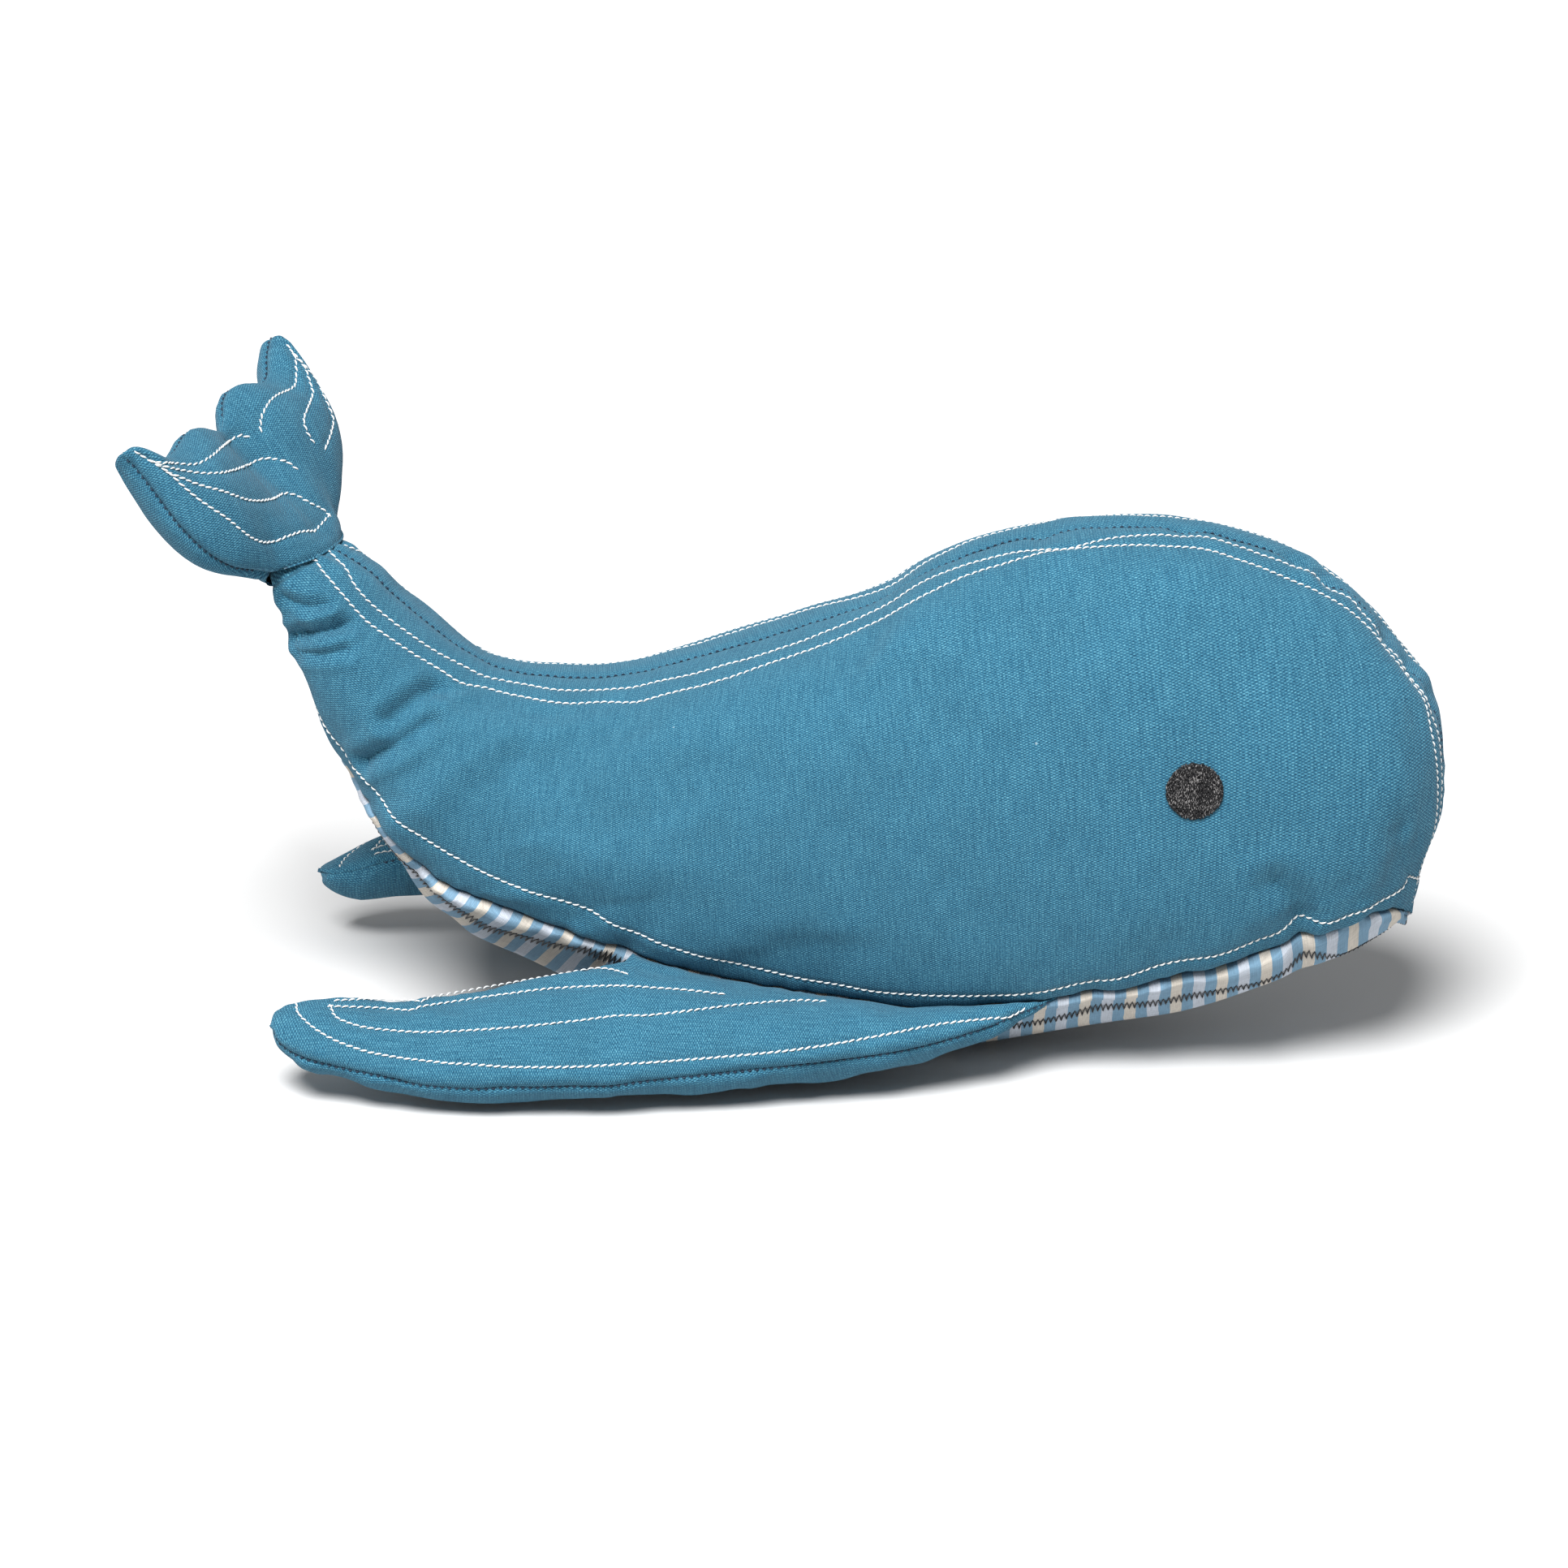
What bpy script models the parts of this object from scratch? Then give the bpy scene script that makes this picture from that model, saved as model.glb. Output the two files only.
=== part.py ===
"""A stuffed toy whale, sewn from cotton canvas over fibre filling.

Two side panels meet in a seam along the back and down the brow. A long pointed panel of striped
cotton closes the belly. Each fin and the flukes are two panels sewn edge to edge, filled, and
caught in a seam of the body, where the cloth lets them bend. The eyes are embroidered.

The whale faces +X with +Z up, and rests on its belly at z = 0. Right and left are its own.
"""

import math

import bmesh
import bpy
import numpy as np
from mathutils import Matrix, Vector
from mathutils.bvhtree import BVHTree

# Body, in metres
BODY_LENGTH = 0.388  # from the fluke seam to the brow
BODY_HEIGHT = 0.190  # from the floor to the crown
BODY_WIDTH = 0.112
BELLY_PANEL_WIDTH = 0.108  # measured across the cloth
TAIL_TURN = math.radians(20)  # how far the flukes are turned to the whale's left
ORIGIN_SHARE = 0.4237  # where the origin lies along the body

# Cloth and gaps
CANVAS = 0.001
SEAM_GROOVE = 0.0008  # between two panels at a seam
CLEARANCE = 0.0003
FILLING_GAP = 0.0007  # between the filling and its cover
FLAT_DEPTH = 0.0005  # how deep the belly is pressed flat

# Eyes
EYE_DIAMETER = 0.020
EYE_THICKNESS = 0.0012
EYE_LENGTH_SHARE = 0.794
EYE_HEIGHT_SHARE = 0.600

# Fins
FIN_LENGTH = 0.2675
FIN_WIDTH = 0.058
FIN_THICKNESS = 0.030
FIN_TOP_SHARE = 0.35  # how much of the thickness lies above the seam
FIN_LEAN = 1.35  # over 1, the fin is thickest nearer its outer edge
FIN_DROOP = math.radians(26)  # slope of the fin from its root towards the floor
FIN_RISE = math.radians(2.5)  # slope of the fin's root line, up towards the tail
FIN_FRONT_SHARE = 0.672  # where the root starts and ends along the belly line of the body
FIN_BACK_SHARE = 0.290
FIN_HINGE_OUT = 0.0015  # the line that the fin turns about, out from its root and below it
FIN_HINGE_DROP = 0.003

# Flukes
FLUKE_SPAN = 0.125
FLUKE_CHORD = 0.068
FLUKE_THICKNESS = 0.027
FLUKE_TOP_SHARE = 0.48  # how much of the thickness lies above the seam
FLUKE_NECK = 0.0042  # from the bend line to the edge of the fluke panels
ROOT_FULLNESS = 2.4  # exponent of the flukes' section where they meet the tail
ROOT_TAPER = 0.5  # how much of the seam's rounding the root takes, and its least share of height
KNUCKLE_RADIUS = 0.0098
KNUCKLE_LENGTH = 0.037
SOCKET_INSET = 0.007  # from the bend line to the end of the tail filling

# Stations along the body, from the flukes to the snout: the back seam and the belly line (x as a
# share of BODY_LENGTH from the flukes, z of BODY_HEIGHT), the width (of BODY_WIDTH), the width of
# belly cloth (of BELLY_PANEL_WIDTH), the turn (of TAIL_TURN), and the exponent that rounds the
# section off at the back seam: 2 is an ellipse, less is a ridge.
BODY_STATION_SHARES = (
    (0.023, 0.924, -0.024, 0.850, 0.39, 0.00, 1.00, 1.70),
    (0.060, 0.872, -0.019, 0.759, 0.46, 0.00, 0.80, 1.70),
    (0.088, 0.821, -0.002, 0.675, 0.54, 0.00, 0.60, 1.70),
    (0.160, 0.708, 0.034, 0.501, 0.66, 0.00, 0.30, 1.75),
    (0.232, 0.683, 0.052, 0.421, 0.73, 0.15, 0.12, 1.95),
    (0.282, 0.689, 0.085, 0.295, 0.79, 0.66, 0.00, 2.15),
    (0.332, 0.716, 0.128, 0.217, 0.85, 0.86, 0.00, 2.40),
    (0.387, 0.753, 0.186, 0.159, 0.89, 0.92, 0.00, 2.80),
    (0.447, 0.798, 0.259, 0.096, 0.93, 0.955, 0.00, 3.00),
    (0.508, 0.851, 0.341, 0.047, 0.96, 0.98, 0.00, 3.00),
    (0.557, 0.912, 0.424, 0.014, 0.98, 1.00, 0.00, 2.80),
    (0.625, 0.971, 0.535, 0.000, 1.00, 0.985, 0.00, 2.60),
    (0.704, 0.998, 0.651, 0.030, 1.00, 0.94, 0.00, 2.40),
    (0.811, 0.992, 0.782, 0.084, 0.96, 0.90, 0.00, 2.35),
    (0.890, 0.926, 0.875, 0.151, 0.88, 0.86, 0.00, 2.20),
    (0.963, 0.790, 0.934, 0.202, 0.71, 0.73, 0.00, 2.15),
    (0.995, 0.680, 0.961, 0.235, 0.55, 0.555, 0.00, 2.10),
    (1.004, 0.526, 0.973, 0.253, 0.37, 0.35, 0.00, 2.10),
    (0.996, 0.379, 0.979, 0.260, 0.18, 0.14, 0.00, 2.10),
    (0.982, 0.265, 0.982, 0.265, 0.00, 0.00, 0.00, 2.10),
)
WAIST_SHARE = 0.46  # height of the widest point of a section
UPPER_FULLNESS = 2.1  # exponents of the section's rounded outline: 2 is an ellipse
LOWER_FULLNESS = 2.15
FILLING_SPLIT_SHARE = 0.30  # where the body filling ends and the tail filling begins
FILLING_NOSE_SHARE = 0.92
LEAST_BELLY_SHARE = 0.1  # of half the girth: how close the filling's columns come under the tail

# The fin's outline from the front of its root to its tip, as shares of FIN_LENGTH back along the
# root, of FIN_WIDTH out to the free inner edge and to the outer edge, and of FIN_THICKNESS.
FIN_STATION_SHARES = (
    (0.000, 0.00, 0.00, 0.00),
    (0.045, 0.00, 0.19, 0.26),
    (0.10, 0.00, 0.35, 0.46),
    (0.19, 0.00, 0.54, 0.72),
    (0.28, 0.00, 0.66, 0.88),
    (0.38, 0.00, 0.77, 0.97),
    (0.48, 0.00, 0.88, 1.00),
    (0.58, 0.08, 0.96, 0.98),
    (0.68, 0.17, 1.00, 0.92),
    (0.77, 0.24, 1.00, 0.84),
    (0.85, 0.31, 0.96, 0.72),
    (0.92, 0.38, 0.86, 0.60),
    (0.965, 0.44, 0.77, 0.47),
    (0.99, 0.50, 0.67, 0.33),
    (1.000, 0.57, 0.59, 0.00),
)

# Half of the flukes from the middle to a tip: the leading or root edge (out, of half of
# FLUKE_SPAN, and along, of FLUKE_CHORD), the trailing edge, the thickness (of FLUKE_THICKNESS)
# and how open the section is at its root edge.
FLUKE_STATION_SHARES = (
    (0.00, 0.00, 0.00, 0.82, 0.78, 1.0),
    (0.16, 0.00, 0.07, 0.84, 0.80, 1.0),
    (0.34, 0.00, 0.17, 0.88, 0.86, 0.8),
    (0.52, 0.04, 0.30, 0.90, 0.94, 0.2),
    (0.69, 0.13, 0.45, 0.89, 1.00, 0.0),
    (0.82, 0.28, 0.60, 0.87, 0.97, 0.0),
    (0.90, 0.47, 0.74, 0.87, 0.86, 0.0),
    (0.95, 0.66, 0.85, 0.90, 0.68, 0.0),
    (0.985, 0.83, 0.94, 0.95, 0.45, 0.0),
    (1.00, 1.00, 1.00, 1.00, 0.00, 0.0),
)

LIMB_FULLNESS = 0.48  # exponent of a limb's section: less has a blunter edge
WELD = 0.000001

SECTION_STEPS = 61
BODY_ROWS = 39
SIDE_COLUMNS = 12
BELLY_COLUMNS = 5  # on each side of its middle
FIN_ROWS = 18
FLUKE_ROWS = 9
LIMB_COLUMNS = 9
EYE_SEGMENTS = 24
KNUCKLE_SEGMENTS = 24
KNUCKLE_RINGS = 14
RIGHT = -1
LEFT = 1


def smooth(stations, count):
    """Rows at even steps along a smooth curve through the stations."""
    stations = np.array(stations, float)
    ends = np.vstack([2 * stations[0] - stations[1], stations, 2 * stations[-1] - stations[-2]])
    rows = []
    for place in np.linspace(0, len(stations) - 1, count):
        k = min(int(place), len(stations) - 2)
        t = place - k
        before, start, end, after = ends[k : k + 4]
        bend = 2 * before - 5 * start + 4 * end - after
        twist = 3 * start - before - 3 * end + after
        rows.append(start + 0.5 * t * (end - before + t * (bend + t * twist)))
    return np.array(rows)


def grid_mesh(rows, closed=False):
    """An open sheet of faces over rows of points; closed joins each row's end to its start."""
    mesh = bmesh.new()
    sheet = [[mesh.verts.new(point) for point in row] for row in rows]
    columns = len(rows[0])
    for low, high in zip(sheet, sheet[1:]):
        for k in range(columns if closed else columns - 1):
            n = (k + 1) % columns
            mesh.faces.new((low[k], low[n], high[n], high[k]))
    return mesh, sheet


def add_object(name, mesh, material):
    """Weld the mesh's coincident points, turn its faces out and link it as one named object."""
    bmesh.ops.remove_doubles(mesh, verts=mesh.verts, dist=WELD)
    bmesh.ops.recalc_face_normals(mesh, faces=mesh.faces)
    if mesh.calc_volume(signed=True) < 0:
        bmesh.ops.reverse_faces(mesh, faces=mesh.faces)
    data = bpy.data.meshes.new(name)
    mesh.to_mesh(data)
    mesh.free()
    data.shade_smooth()
    data.materials.append(material)
    thing = bpy.data.objects.new(name, data)
    parts.objects.link(thing)
    return thing


def add_modifier(thing, kind, **settings):
    modifier = thing.modifiers.new(kind.title(), kind)
    for key, value in settings.items():
        setattr(modifier, key, value)
    return modifier


def add_hinge(name, place, axis, pieces):
    """An empty on a hinge's line, its own Z along it, that carries the pieces which turn there."""
    hinge = bpy.data.objects.new(name, None)
    hinge.matrix_world = Matrix.Translation(place) @ axis.to_track_quat("Z", "Y").to_matrix().to_4x4()
    parts.objects.link(hinge)
    bpy.context.view_layer.update()
    for piece in pieces:
        piece.parent = hinge
        piece.matrix_parent_inverse = hinge.matrix_world.inverted()


def cloth_between(name, face, lining, material):
    """A closed skin with its face on one sheet of points and its lining on another."""
    mesh, front = grid_mesh(face)
    back = [[mesh.verts.new(point) for point in row] for row in lining]
    for low, high in zip(back, back[1:]):
        for k in range(len(low) - 1):
            mesh.faces.new((low[k], high[k], high[k + 1], low[k + 1]))
    rim = outline(front)
    other = outline(back)
    for k in range(len(rim)):
        n = (k + 1) % len(rim)
        mesh.faces.new((rim[k], other[k], other[n], rim[n]))
    return add_object(name, mesh, material)


def outline(sheet):
    """The points round a sheet's edge, in order."""
    right = [row[-1] for row in sheet[1:-1]]
    left = [row[0] for row in sheet[1:-1]]
    return [*sheet[0], *right, *reversed(sheet[-1]), *reversed(left)]


# Materials

def make_material(name, color, roughness):
    material = bpy.data.materials.new(name)
    material.use_nodes = True
    shader = material.node_tree.nodes["Principled BSDF"]
    shader.inputs["Base Color"].default_value = (*color, 1)
    shader.inputs["Roughness"].default_value = roughness
    shader.inputs["Metallic"].default_value = 0
    material.diffuse_color = (*color, 1)
    return material


# Body

def section(row):
    """Half of one section of the body: (out, up) points from the back seam to the belly line,
    with up as a share of the section's height."""
    half_width = row[4]
    points = []
    for angle in np.linspace(0, math.pi, SECTION_STEPS):
        upper = angle <= math.pi / 2
        rise = 1 - WAIST_SHARE if upper else -WAIST_SHARE
        fullness = UPPER_FULLNESS if upper else LOWER_FULLNESS
        shoulder = row[7] if upper else LOWER_FULLNESS
        up = WAIST_SHARE + rise * abs(math.cos(angle)) ** (2 / fullness)
        out = max(math.sin(angle), 0) ** (2 / shoulder)
        points.append((half_width * out, up))
    return points


def place_section(row, points, side):
    """Set (out, up) points of a section in the row's plane, on one side of the body."""
    back_x, back_z, belly_x, belly_z = row[:4]
    turn = row[6] * TAIL_TURN
    centre_x = (back_x + belly_x) / 2
    placed = []
    for out, up in points:
        along = belly_x + up * (back_x - belly_x) - centre_x
        across = side * out
        x = centre_x + along * math.cos(turn) + across * math.sin(turn)
        y = across * math.cos(turn) - along * math.sin(turn)
        placed.append((x, y, belly_z + up * (back_z - belly_z)))
    return np.array(placed)


def measure(points):
    """Distance along a line of points, from its start to each of them."""
    steps = np.linalg.norm(np.diff(points, axis=0), axis=1)
    return np.concatenate([[0], np.cumsum(steps)])


def strip(row, side, start, end, count):
    """Points spaced evenly round one half section, between two distances from the back seam."""
    line = place_section(row, section(row), side)
    along = measure(line)
    stops = np.clip(np.linspace(start, end, count + 1), 0, along[-1])
    return np.stack([np.interp(stops, along, line[:, k]) for k in range(3)], axis=1)


def half_girth(row):
    return measure(place_section(row, section(row), RIGHT))[-1]


def body_rows(count):
    """Rows of lengths down the body, from the table of stations."""
    half_widths = (BODY_WIDTH / 2, BELLY_PANEL_WIDTH / 2)
    scale = (BODY_LENGTH, BODY_HEIGHT, BODY_LENGTH, BODY_HEIGHT, *half_widths, 1, 1)
    rows = smooth(BODY_STATION_SHARES, count)
    rows[:, (0, 2)] -= ORIGIN_SHARE
    rows[:, 4:6] = rows[:, 4:6].clip(min=0)
    rows = rows * scale
    rows[:, (1, 3)] -= FLAT_DEPTH
    return rows


def belly_reach(row):
    """Half the width of belly cloth at this row, and none past its pointed ends."""
    return min(row[5], half_girth(row))


def side_panel(name, side, material):
    """A side panel from the back seam to the belly panel, or to its twin where that has ended."""
    rows = []
    for row in body_rows(BODY_ROWS):
        end = half_girth(row) - belly_reach(row) - SEAM_GROOVE / 2
        start = min(SEAM_GROOVE / 2, end)
        points = strip(row, side, start, max(end, start), SIDE_COLUMNS)
        if row[6] == 0:
            points[:, 1] = side * np.maximum(side * points[:, 1], SEAM_GROOVE / 2)
        rows.append(points)
    mesh, _ = grid_mesh(rows)
    panel = add_object(name, mesh, material)
    face_outwards(panel, side)
    add_modifier(panel, "SOLIDIFY", thickness=CANVAS, offset=-1)
    return panel


def face_outwards(panel, side):
    """Turn an open panel's faces away from the body's middle."""
    data = panel.data
    facing = sum(face.normal.y * face.area for face in data.polygons)
    if facing * side < 0:
        data.flip_normals()


def belly_panel(material):
    """The striped panel, pointed at both ends, pressed flat where the whale rests."""
    rows = []
    for row in body_rows(BODY_ROWS):
        reach = belly_reach(row) - SEAM_GROOVE / 2
        if reach <= 0:
            continue
        girth = half_girth(row)
        right = strip(row, RIGHT, girth - reach, girth, BELLY_COLUMNS)
        left = strip(row, LEFT, girth - reach, girth, BELLY_COLUMNS)
        rows.append(np.vstack([right, left[-2::-1]]))
    mesh, _ = grid_mesh(rows)
    panel = add_object("belly_panel", mesh, material)
    if sum(face.normal.z * face.area for face in panel.data.polygons) > 0:
        panel.data.flip_normals()
    add_modifier(panel, "SOLIDIFY", thickness=CANVAS, offset=-1)
    size = Vector((BODY_LENGTH * 2, BODY_WIDTH * 2, BODY_HEIGHT))
    floor = add_cutter("floor", Vector((0, 0, -BODY_HEIGHT / 2)), size)
    add_modifier(panel, "BOOLEAN", operation="DIFFERENCE", object=floor)
    return panel


def add_cutter(name, centre, size):
    mesh = bmesh.new()
    bmesh.ops.create_cube(mesh, size=1)
    bmesh.ops.scale(mesh, vec=size, verts=mesh.verts)
    bmesh.ops.translate(mesh, vec=centre, verts=mesh.verts)
    return hide_helper(name, mesh)


def hide_helper(name, mesh):
    data = bpy.data.meshes.new(name)
    mesh.to_mesh(data)
    mesh.free()
    helper = bpy.data.objects.new(name, data)
    helper.hide_render = True
    helper.display_type = "WIRE"
    helpers.objects.link(helper)
    return helper


def ring(row):
    """Points right round one section, from the back down the right side, under the panels'."""
    girth = half_girth(row)
    seam = girth - max(belly_reach(row), LEAST_BELLY_SHARE * girth)
    halves = []
    for side in (RIGHT, LEFT):
        flank = strip(row, side, 0, seam, SIDE_COLUMNS)
        belly = strip(row, side, seam, girth, BELLY_COLUMNS)
        halves.append(np.vstack([flank, belly[1:]]))
    return np.vstack([halves[0], halves[1][-2:0:-1]])


def sink(rings, depth):
    """Rings moved inwards from the surface that they lie on."""
    lengthwise = np.gradient(rings, axis=0)
    round_about = np.roll(rings, -1, axis=1) - np.roll(rings, 1, axis=1)
    normals = np.cross(round_about, lengthwise)
    normals /= np.linalg.norm(normals, axis=2, keepdims=True)
    outwards = rings - rings.mean(axis=1, keepdims=True)
    normals *= np.sign((normals * outwards).sum(axis=2, keepdims=True))
    return rings - depth * normals


def filling(name, rings, material):
    """A closed solid through rings of points, with flat ends."""
    mesh, sheet = grid_mesh(rings, closed=True)
    mesh.faces.new(sheet[0])
    mesh.faces.new(sheet[-1])
    return add_object(name, mesh, material)


def body_fillings(material):
    """The stuffing, in one lump for the body and one for the tail, cut to meet flat."""
    rows = body_rows(BODY_ROWS)
    depth = CANVAS + FILLING_GAP
    nose = int(FILLING_NOSE_SHARE * BODY_ROWS)
    split = int(FILLING_SPLIT_SHARE * BODY_ROWS)
    rings = sink(np.array([ring(row) for row in rows[:nose]]), depth)
    body = filling("body_filling", rings[split:], material)
    axle = flank_frame(rings[split])
    tail_rings = rings[: split + 1].copy()
    tail_rings[-1] += axle * FILLING_GAP
    bend, _, along, _ = fluke_frame()
    tail_rings[0] = slide_to_plane(tail_rings[0], tail_rings[1], bend - along * SOCKET_INSET, along)
    tail = filling("tail_filling", tail_rings, material)
    socket = knuckle("knuckle_socket", CLEARANCE)
    add_modifier(tail, "BOOLEAN", operation="DIFFERENCE", object=socket)
    return body, tail


def flank_frame(points):
    """Unit vector square to a flat ring, pointing to the tail."""
    across = points[SIDE_COLUMNS // 2] - points[-SIDE_COLUMNS // 2]
    down = points[SIDE_COLUMNS + BELLY_COLUMNS] - points[0]
    normal = np.cross(across, down)
    normal /= np.linalg.norm(normal)
    return -normal if normal[0] > 0 else normal


def slide_to_plane(points, towards, origin, normal):
    """Each point moved along the line to its partner, onto a plane."""
    origin = np.array(origin)
    normal = np.array(normal)
    lines = towards - points
    share = ((origin - points) @ normal) / (lines @ normal)
    return points + lines * share[:, None]


# Flukes

def fluke_frame():
    """The middle of the fluke seam, and unit vectors out to the left, along and up."""
    row = body_rows(BODY_ROWS)[0]
    line = place_section(row, section(row), RIGHT)
    back, belly = Vector(line[0]), Vector(line[-1])
    out = Vector((math.sin(TAIL_TURN), math.cos(TAIL_TURN), 0))
    up = (back - belly).normalized()
    return (back + belly) / 2, out, up.cross(out).normalized(), up


def knuckle(name, grow):
    """The rounded root of the flukes, turned about the line that they bend on."""
    bend, out, along, up = fluke_frame()
    mesh = bmesh.new()
    bmesh.ops.create_uvsphere(
        mesh, u_segments=KNUCKLE_SEGMENTS, v_segments=KNUCKLE_RINGS, radius=1
    )
    radius = KNUCKLE_RADIUS + grow
    bmesh.ops.scale(mesh, vec=(radius, radius, KNUCKLE_LENGTH / 2 + grow), verts=mesh.verts)
    place = Matrix((along, up, out)).transposed().to_4x4()
    place.translation = bend
    bmesh.ops.transform(mesh, matrix=place, verts=mesh.verts)
    bmesh.ops.recalc_face_normals(mesh, faces=mesh.faces)
    return hide_helper(name, mesh)


def spread(count):
    """Shares across a limb, closer together near its edges."""
    return [(1 - math.cos(math.pi * k / count)) / 2 for k in range(count + 1)]


def fluke_sheet(height_of, first=0, last=None):
    """Rows of points from tip to tip, with the height given by the section's own height."""
    bend, out, along, up = (np.array(v) for v in fluke_frame())
    half = smooth(FLUKE_STATION_SHARES, FLUKE_ROWS + 1).clip(min=0)
    shares = spread(LIMB_COLUMNS)[first:last]
    rows = []
    for side, station in [(RIGHT, row) for row in half[:0:-1]] + [(LEFT, row) for row in half]:
        lead_out, lead_along, trail_out, trail_along, thick, open_root = station
        points = []
        for share in shares:
            reach = lead_out + (trail_out - lead_out) * share
            chord = lead_along + (trail_along - lead_along) * share
            edge = math.sin(math.pi * share) ** LIMB_FULLNESS if 0 < share < 1 else 0
            bluff = max(1 - share**ROOT_FULLNESS, 0) ** LIMB_FULLNESS
            opened = edge + (bluff - edge) * min(open_root, 1)
            height = thick * FLUKE_THICKNESS / 2 * opened * taper_at_root(reach, open_root)
            flat = bend + out * side * reach * FLUKE_SPAN / 2
            flat = flat + along * (FLUKE_NECK + chord * (FLUKE_CHORD - FLUKE_NECK))
            points.append(flat + up * height_of(height))
        rows.append(points)
    return np.array(rows)


def taper_at_root(reach, open_root):
    """The section thins towards the sides of the seam, as the end of the tail does."""
    side = reach * FLUKE_SPAN / (BODY_STATION_SHARES[0][4] * BODY_WIDTH)
    rounded = max(math.sqrt(1 - min(side, 1) ** 2), ROOT_TAPER)
    return 1 - min(open_root, 1) * (1 - rounded) * ROOT_TAPER


def limb_parts(prefix, names, sheet, top_share, cloth, stuffing):
    """Two panels that meet at a seam round the limb's edge, and the filling between them. A sheet
    is asked for with the function that turns half the thickness of a place into its height."""
    half_groove = CLEARANCE / 2
    rise = 2 * top_share
    drop = 2 - rise
    upper = cloth_between(
        f"{prefix}_{names[0]}",
        sheet(lambda height: half_groove + rise * height),
        sheet(lambda height: half_groove + max(rise * height - CANVAS, 0)),
        cloth,
    )
    lower = cloth_between(
        f"{prefix}_{names[1]}",
        sheet(lambda height: -half_groove - drop * height),
        sheet(lambda height: -half_groove - max(drop * height - CANVAS, 0)),
        cloth,
    )
    inside = CANVAS + FILLING_GAP - half_groove
    top = sheet(lambda height: max(rise * height - inside, half_groove), 1, -1)[1:-1]
    bottom = sheet(lambda height: -max(drop * height - inside, half_groove), 1, -1)[1:-1]
    lump = cloth_between(f"{prefix}_filling", top, bottom, stuffing)
    return upper, lower, lump


def flukes(cloth, stuffing):
    upper, lower, lump = limb_parts(
        "fluke", ("upper_panel", "lower_panel"), fluke_sheet, FLUKE_TOP_SHARE, cloth, stuffing
    )
    root = knuckle("fluke_knuckle", 0)
    add_modifier(lump, "BOOLEAN", operation="UNION", object=root)
    bend, out, _, _ = fluke_frame()
    add_hinge("fluke_hinge", bend, out, (upper, lower, lump))
    return upper, lower, lump


# Fins

def belly_seam(side):
    """A function that gives the point on the seam between the side and belly panels, at a share
    of the body's length."""
    rows = body_rows(BODY_ROWS)[: int(FILLING_NOSE_SHARE * BODY_ROWS)]
    line = []
    for row in rows:
        girth = half_girth(row)
        line.append(strip(row, side, girth - belly_reach(row), girth, 1)[0])
    line = np.array(line)

    def at(share):
        x = (share - ORIGIN_SHARE) * BODY_LENGTH
        return np.array([np.interp(x, line[:, 0], line[:, k]) for k in range(3)])

    return at


def fin_frame(side, seam):
    """The front of the fin's root, and unit vectors back along the root, out and up."""
    rearwards = Vector((-math.cos(FIN_RISE), 0, math.sin(FIN_RISE)))
    slope = Vector((0, side * math.cos(FIN_DROOP), -math.sin(FIN_DROOP)))
    up = rearwards.cross(slope).normalized()
    if up.z < 0:
        up.negate()
    out = up.cross(rearwards).normalized()
    if out.y * side < 0:
        out.negate()
    return Vector(seam(FIN_FRONT_SHARE)), rearwards, out, up


def fin_sheet(side):
    """A function that gives rows of points from the fin's root to its tip."""
    seam = belly_seam(side)
    front, rearwards, out, up = (np.array(v) for v in fin_frame(side, seam))
    root_share = (FIN_FRONT_SHARE - FIN_BACK_SHARE) * BODY_LENGTH / FIN_LENGTH
    stand_off = out * (CLEARANCE + SEAM_GROOVE)
    stations = smooth(FIN_STATION_SHARES, FIN_ROWS + 1).clip(min=0)

    def on_plane(station, edge):
        return front + rearwards * station[0] * FIN_LENGTH + out * station[edge] * FIN_WIDTH + stand_off

    def on_seam(along):
        return seam(FIN_FRONT_SHARE - along * FIN_LENGTH / BODY_LENGTH) + stand_off

    def inner_edge(station):
        """On the body's seam with a clearance, or free behind it and easing to the fin's plane."""
        if station[0] <= root_share:
            return on_seam(station[0])
        free = (station[0] - root_share) / (1 - root_share)
        last = np.array([root_share, 0, 0, 0])
        return on_plane(station, 1) + (on_seam(root_share) - on_plane(last, 1)) * max(1 - free, 0) ** 2

    def sheet(height_of, first=0, last=None):
        rows = []
        for station in stations:
            inner = inner_edge(station)
            outer = on_plane(station, 2)
            points = []
            for share in spread(LIMB_COLUMNS)[first:last]:
                swell = math.sin(math.pi * share**FIN_LEAN) ** LIMB_FULLNESS if 0 < share < 1 else 0
                height = station[3] * FIN_THICKNESS / 2 * swell
                points.append(inner + (outer - inner) * share + up * height_of(height))
            rows.append(points)
        return np.array(rows)

    return sheet


def fin_hinge(side):
    """A point on the line that a fin turns about, and the line's direction, to lift it by."""
    seam = belly_seam(side)
    front, back = Vector(seam(FIN_FRONT_SHARE)), Vector(seam(FIN_BACK_SHARE))
    shift = Vector((0, side * FIN_HINGE_OUT, -FIN_HINGE_DROP))
    return front + shift, (front - back).normalized() * side


def fin(name, side, cloth, stuffing):
    names = ("top_panel", "bottom_panel")
    pieces = limb_parts(name, names, fin_sheet(side), FIN_TOP_SHARE, cloth, stuffing)
    add_hinge(f"{name}_hinge", *fin_hinge(side), pieces)
    return pieces


# Eyes

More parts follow.
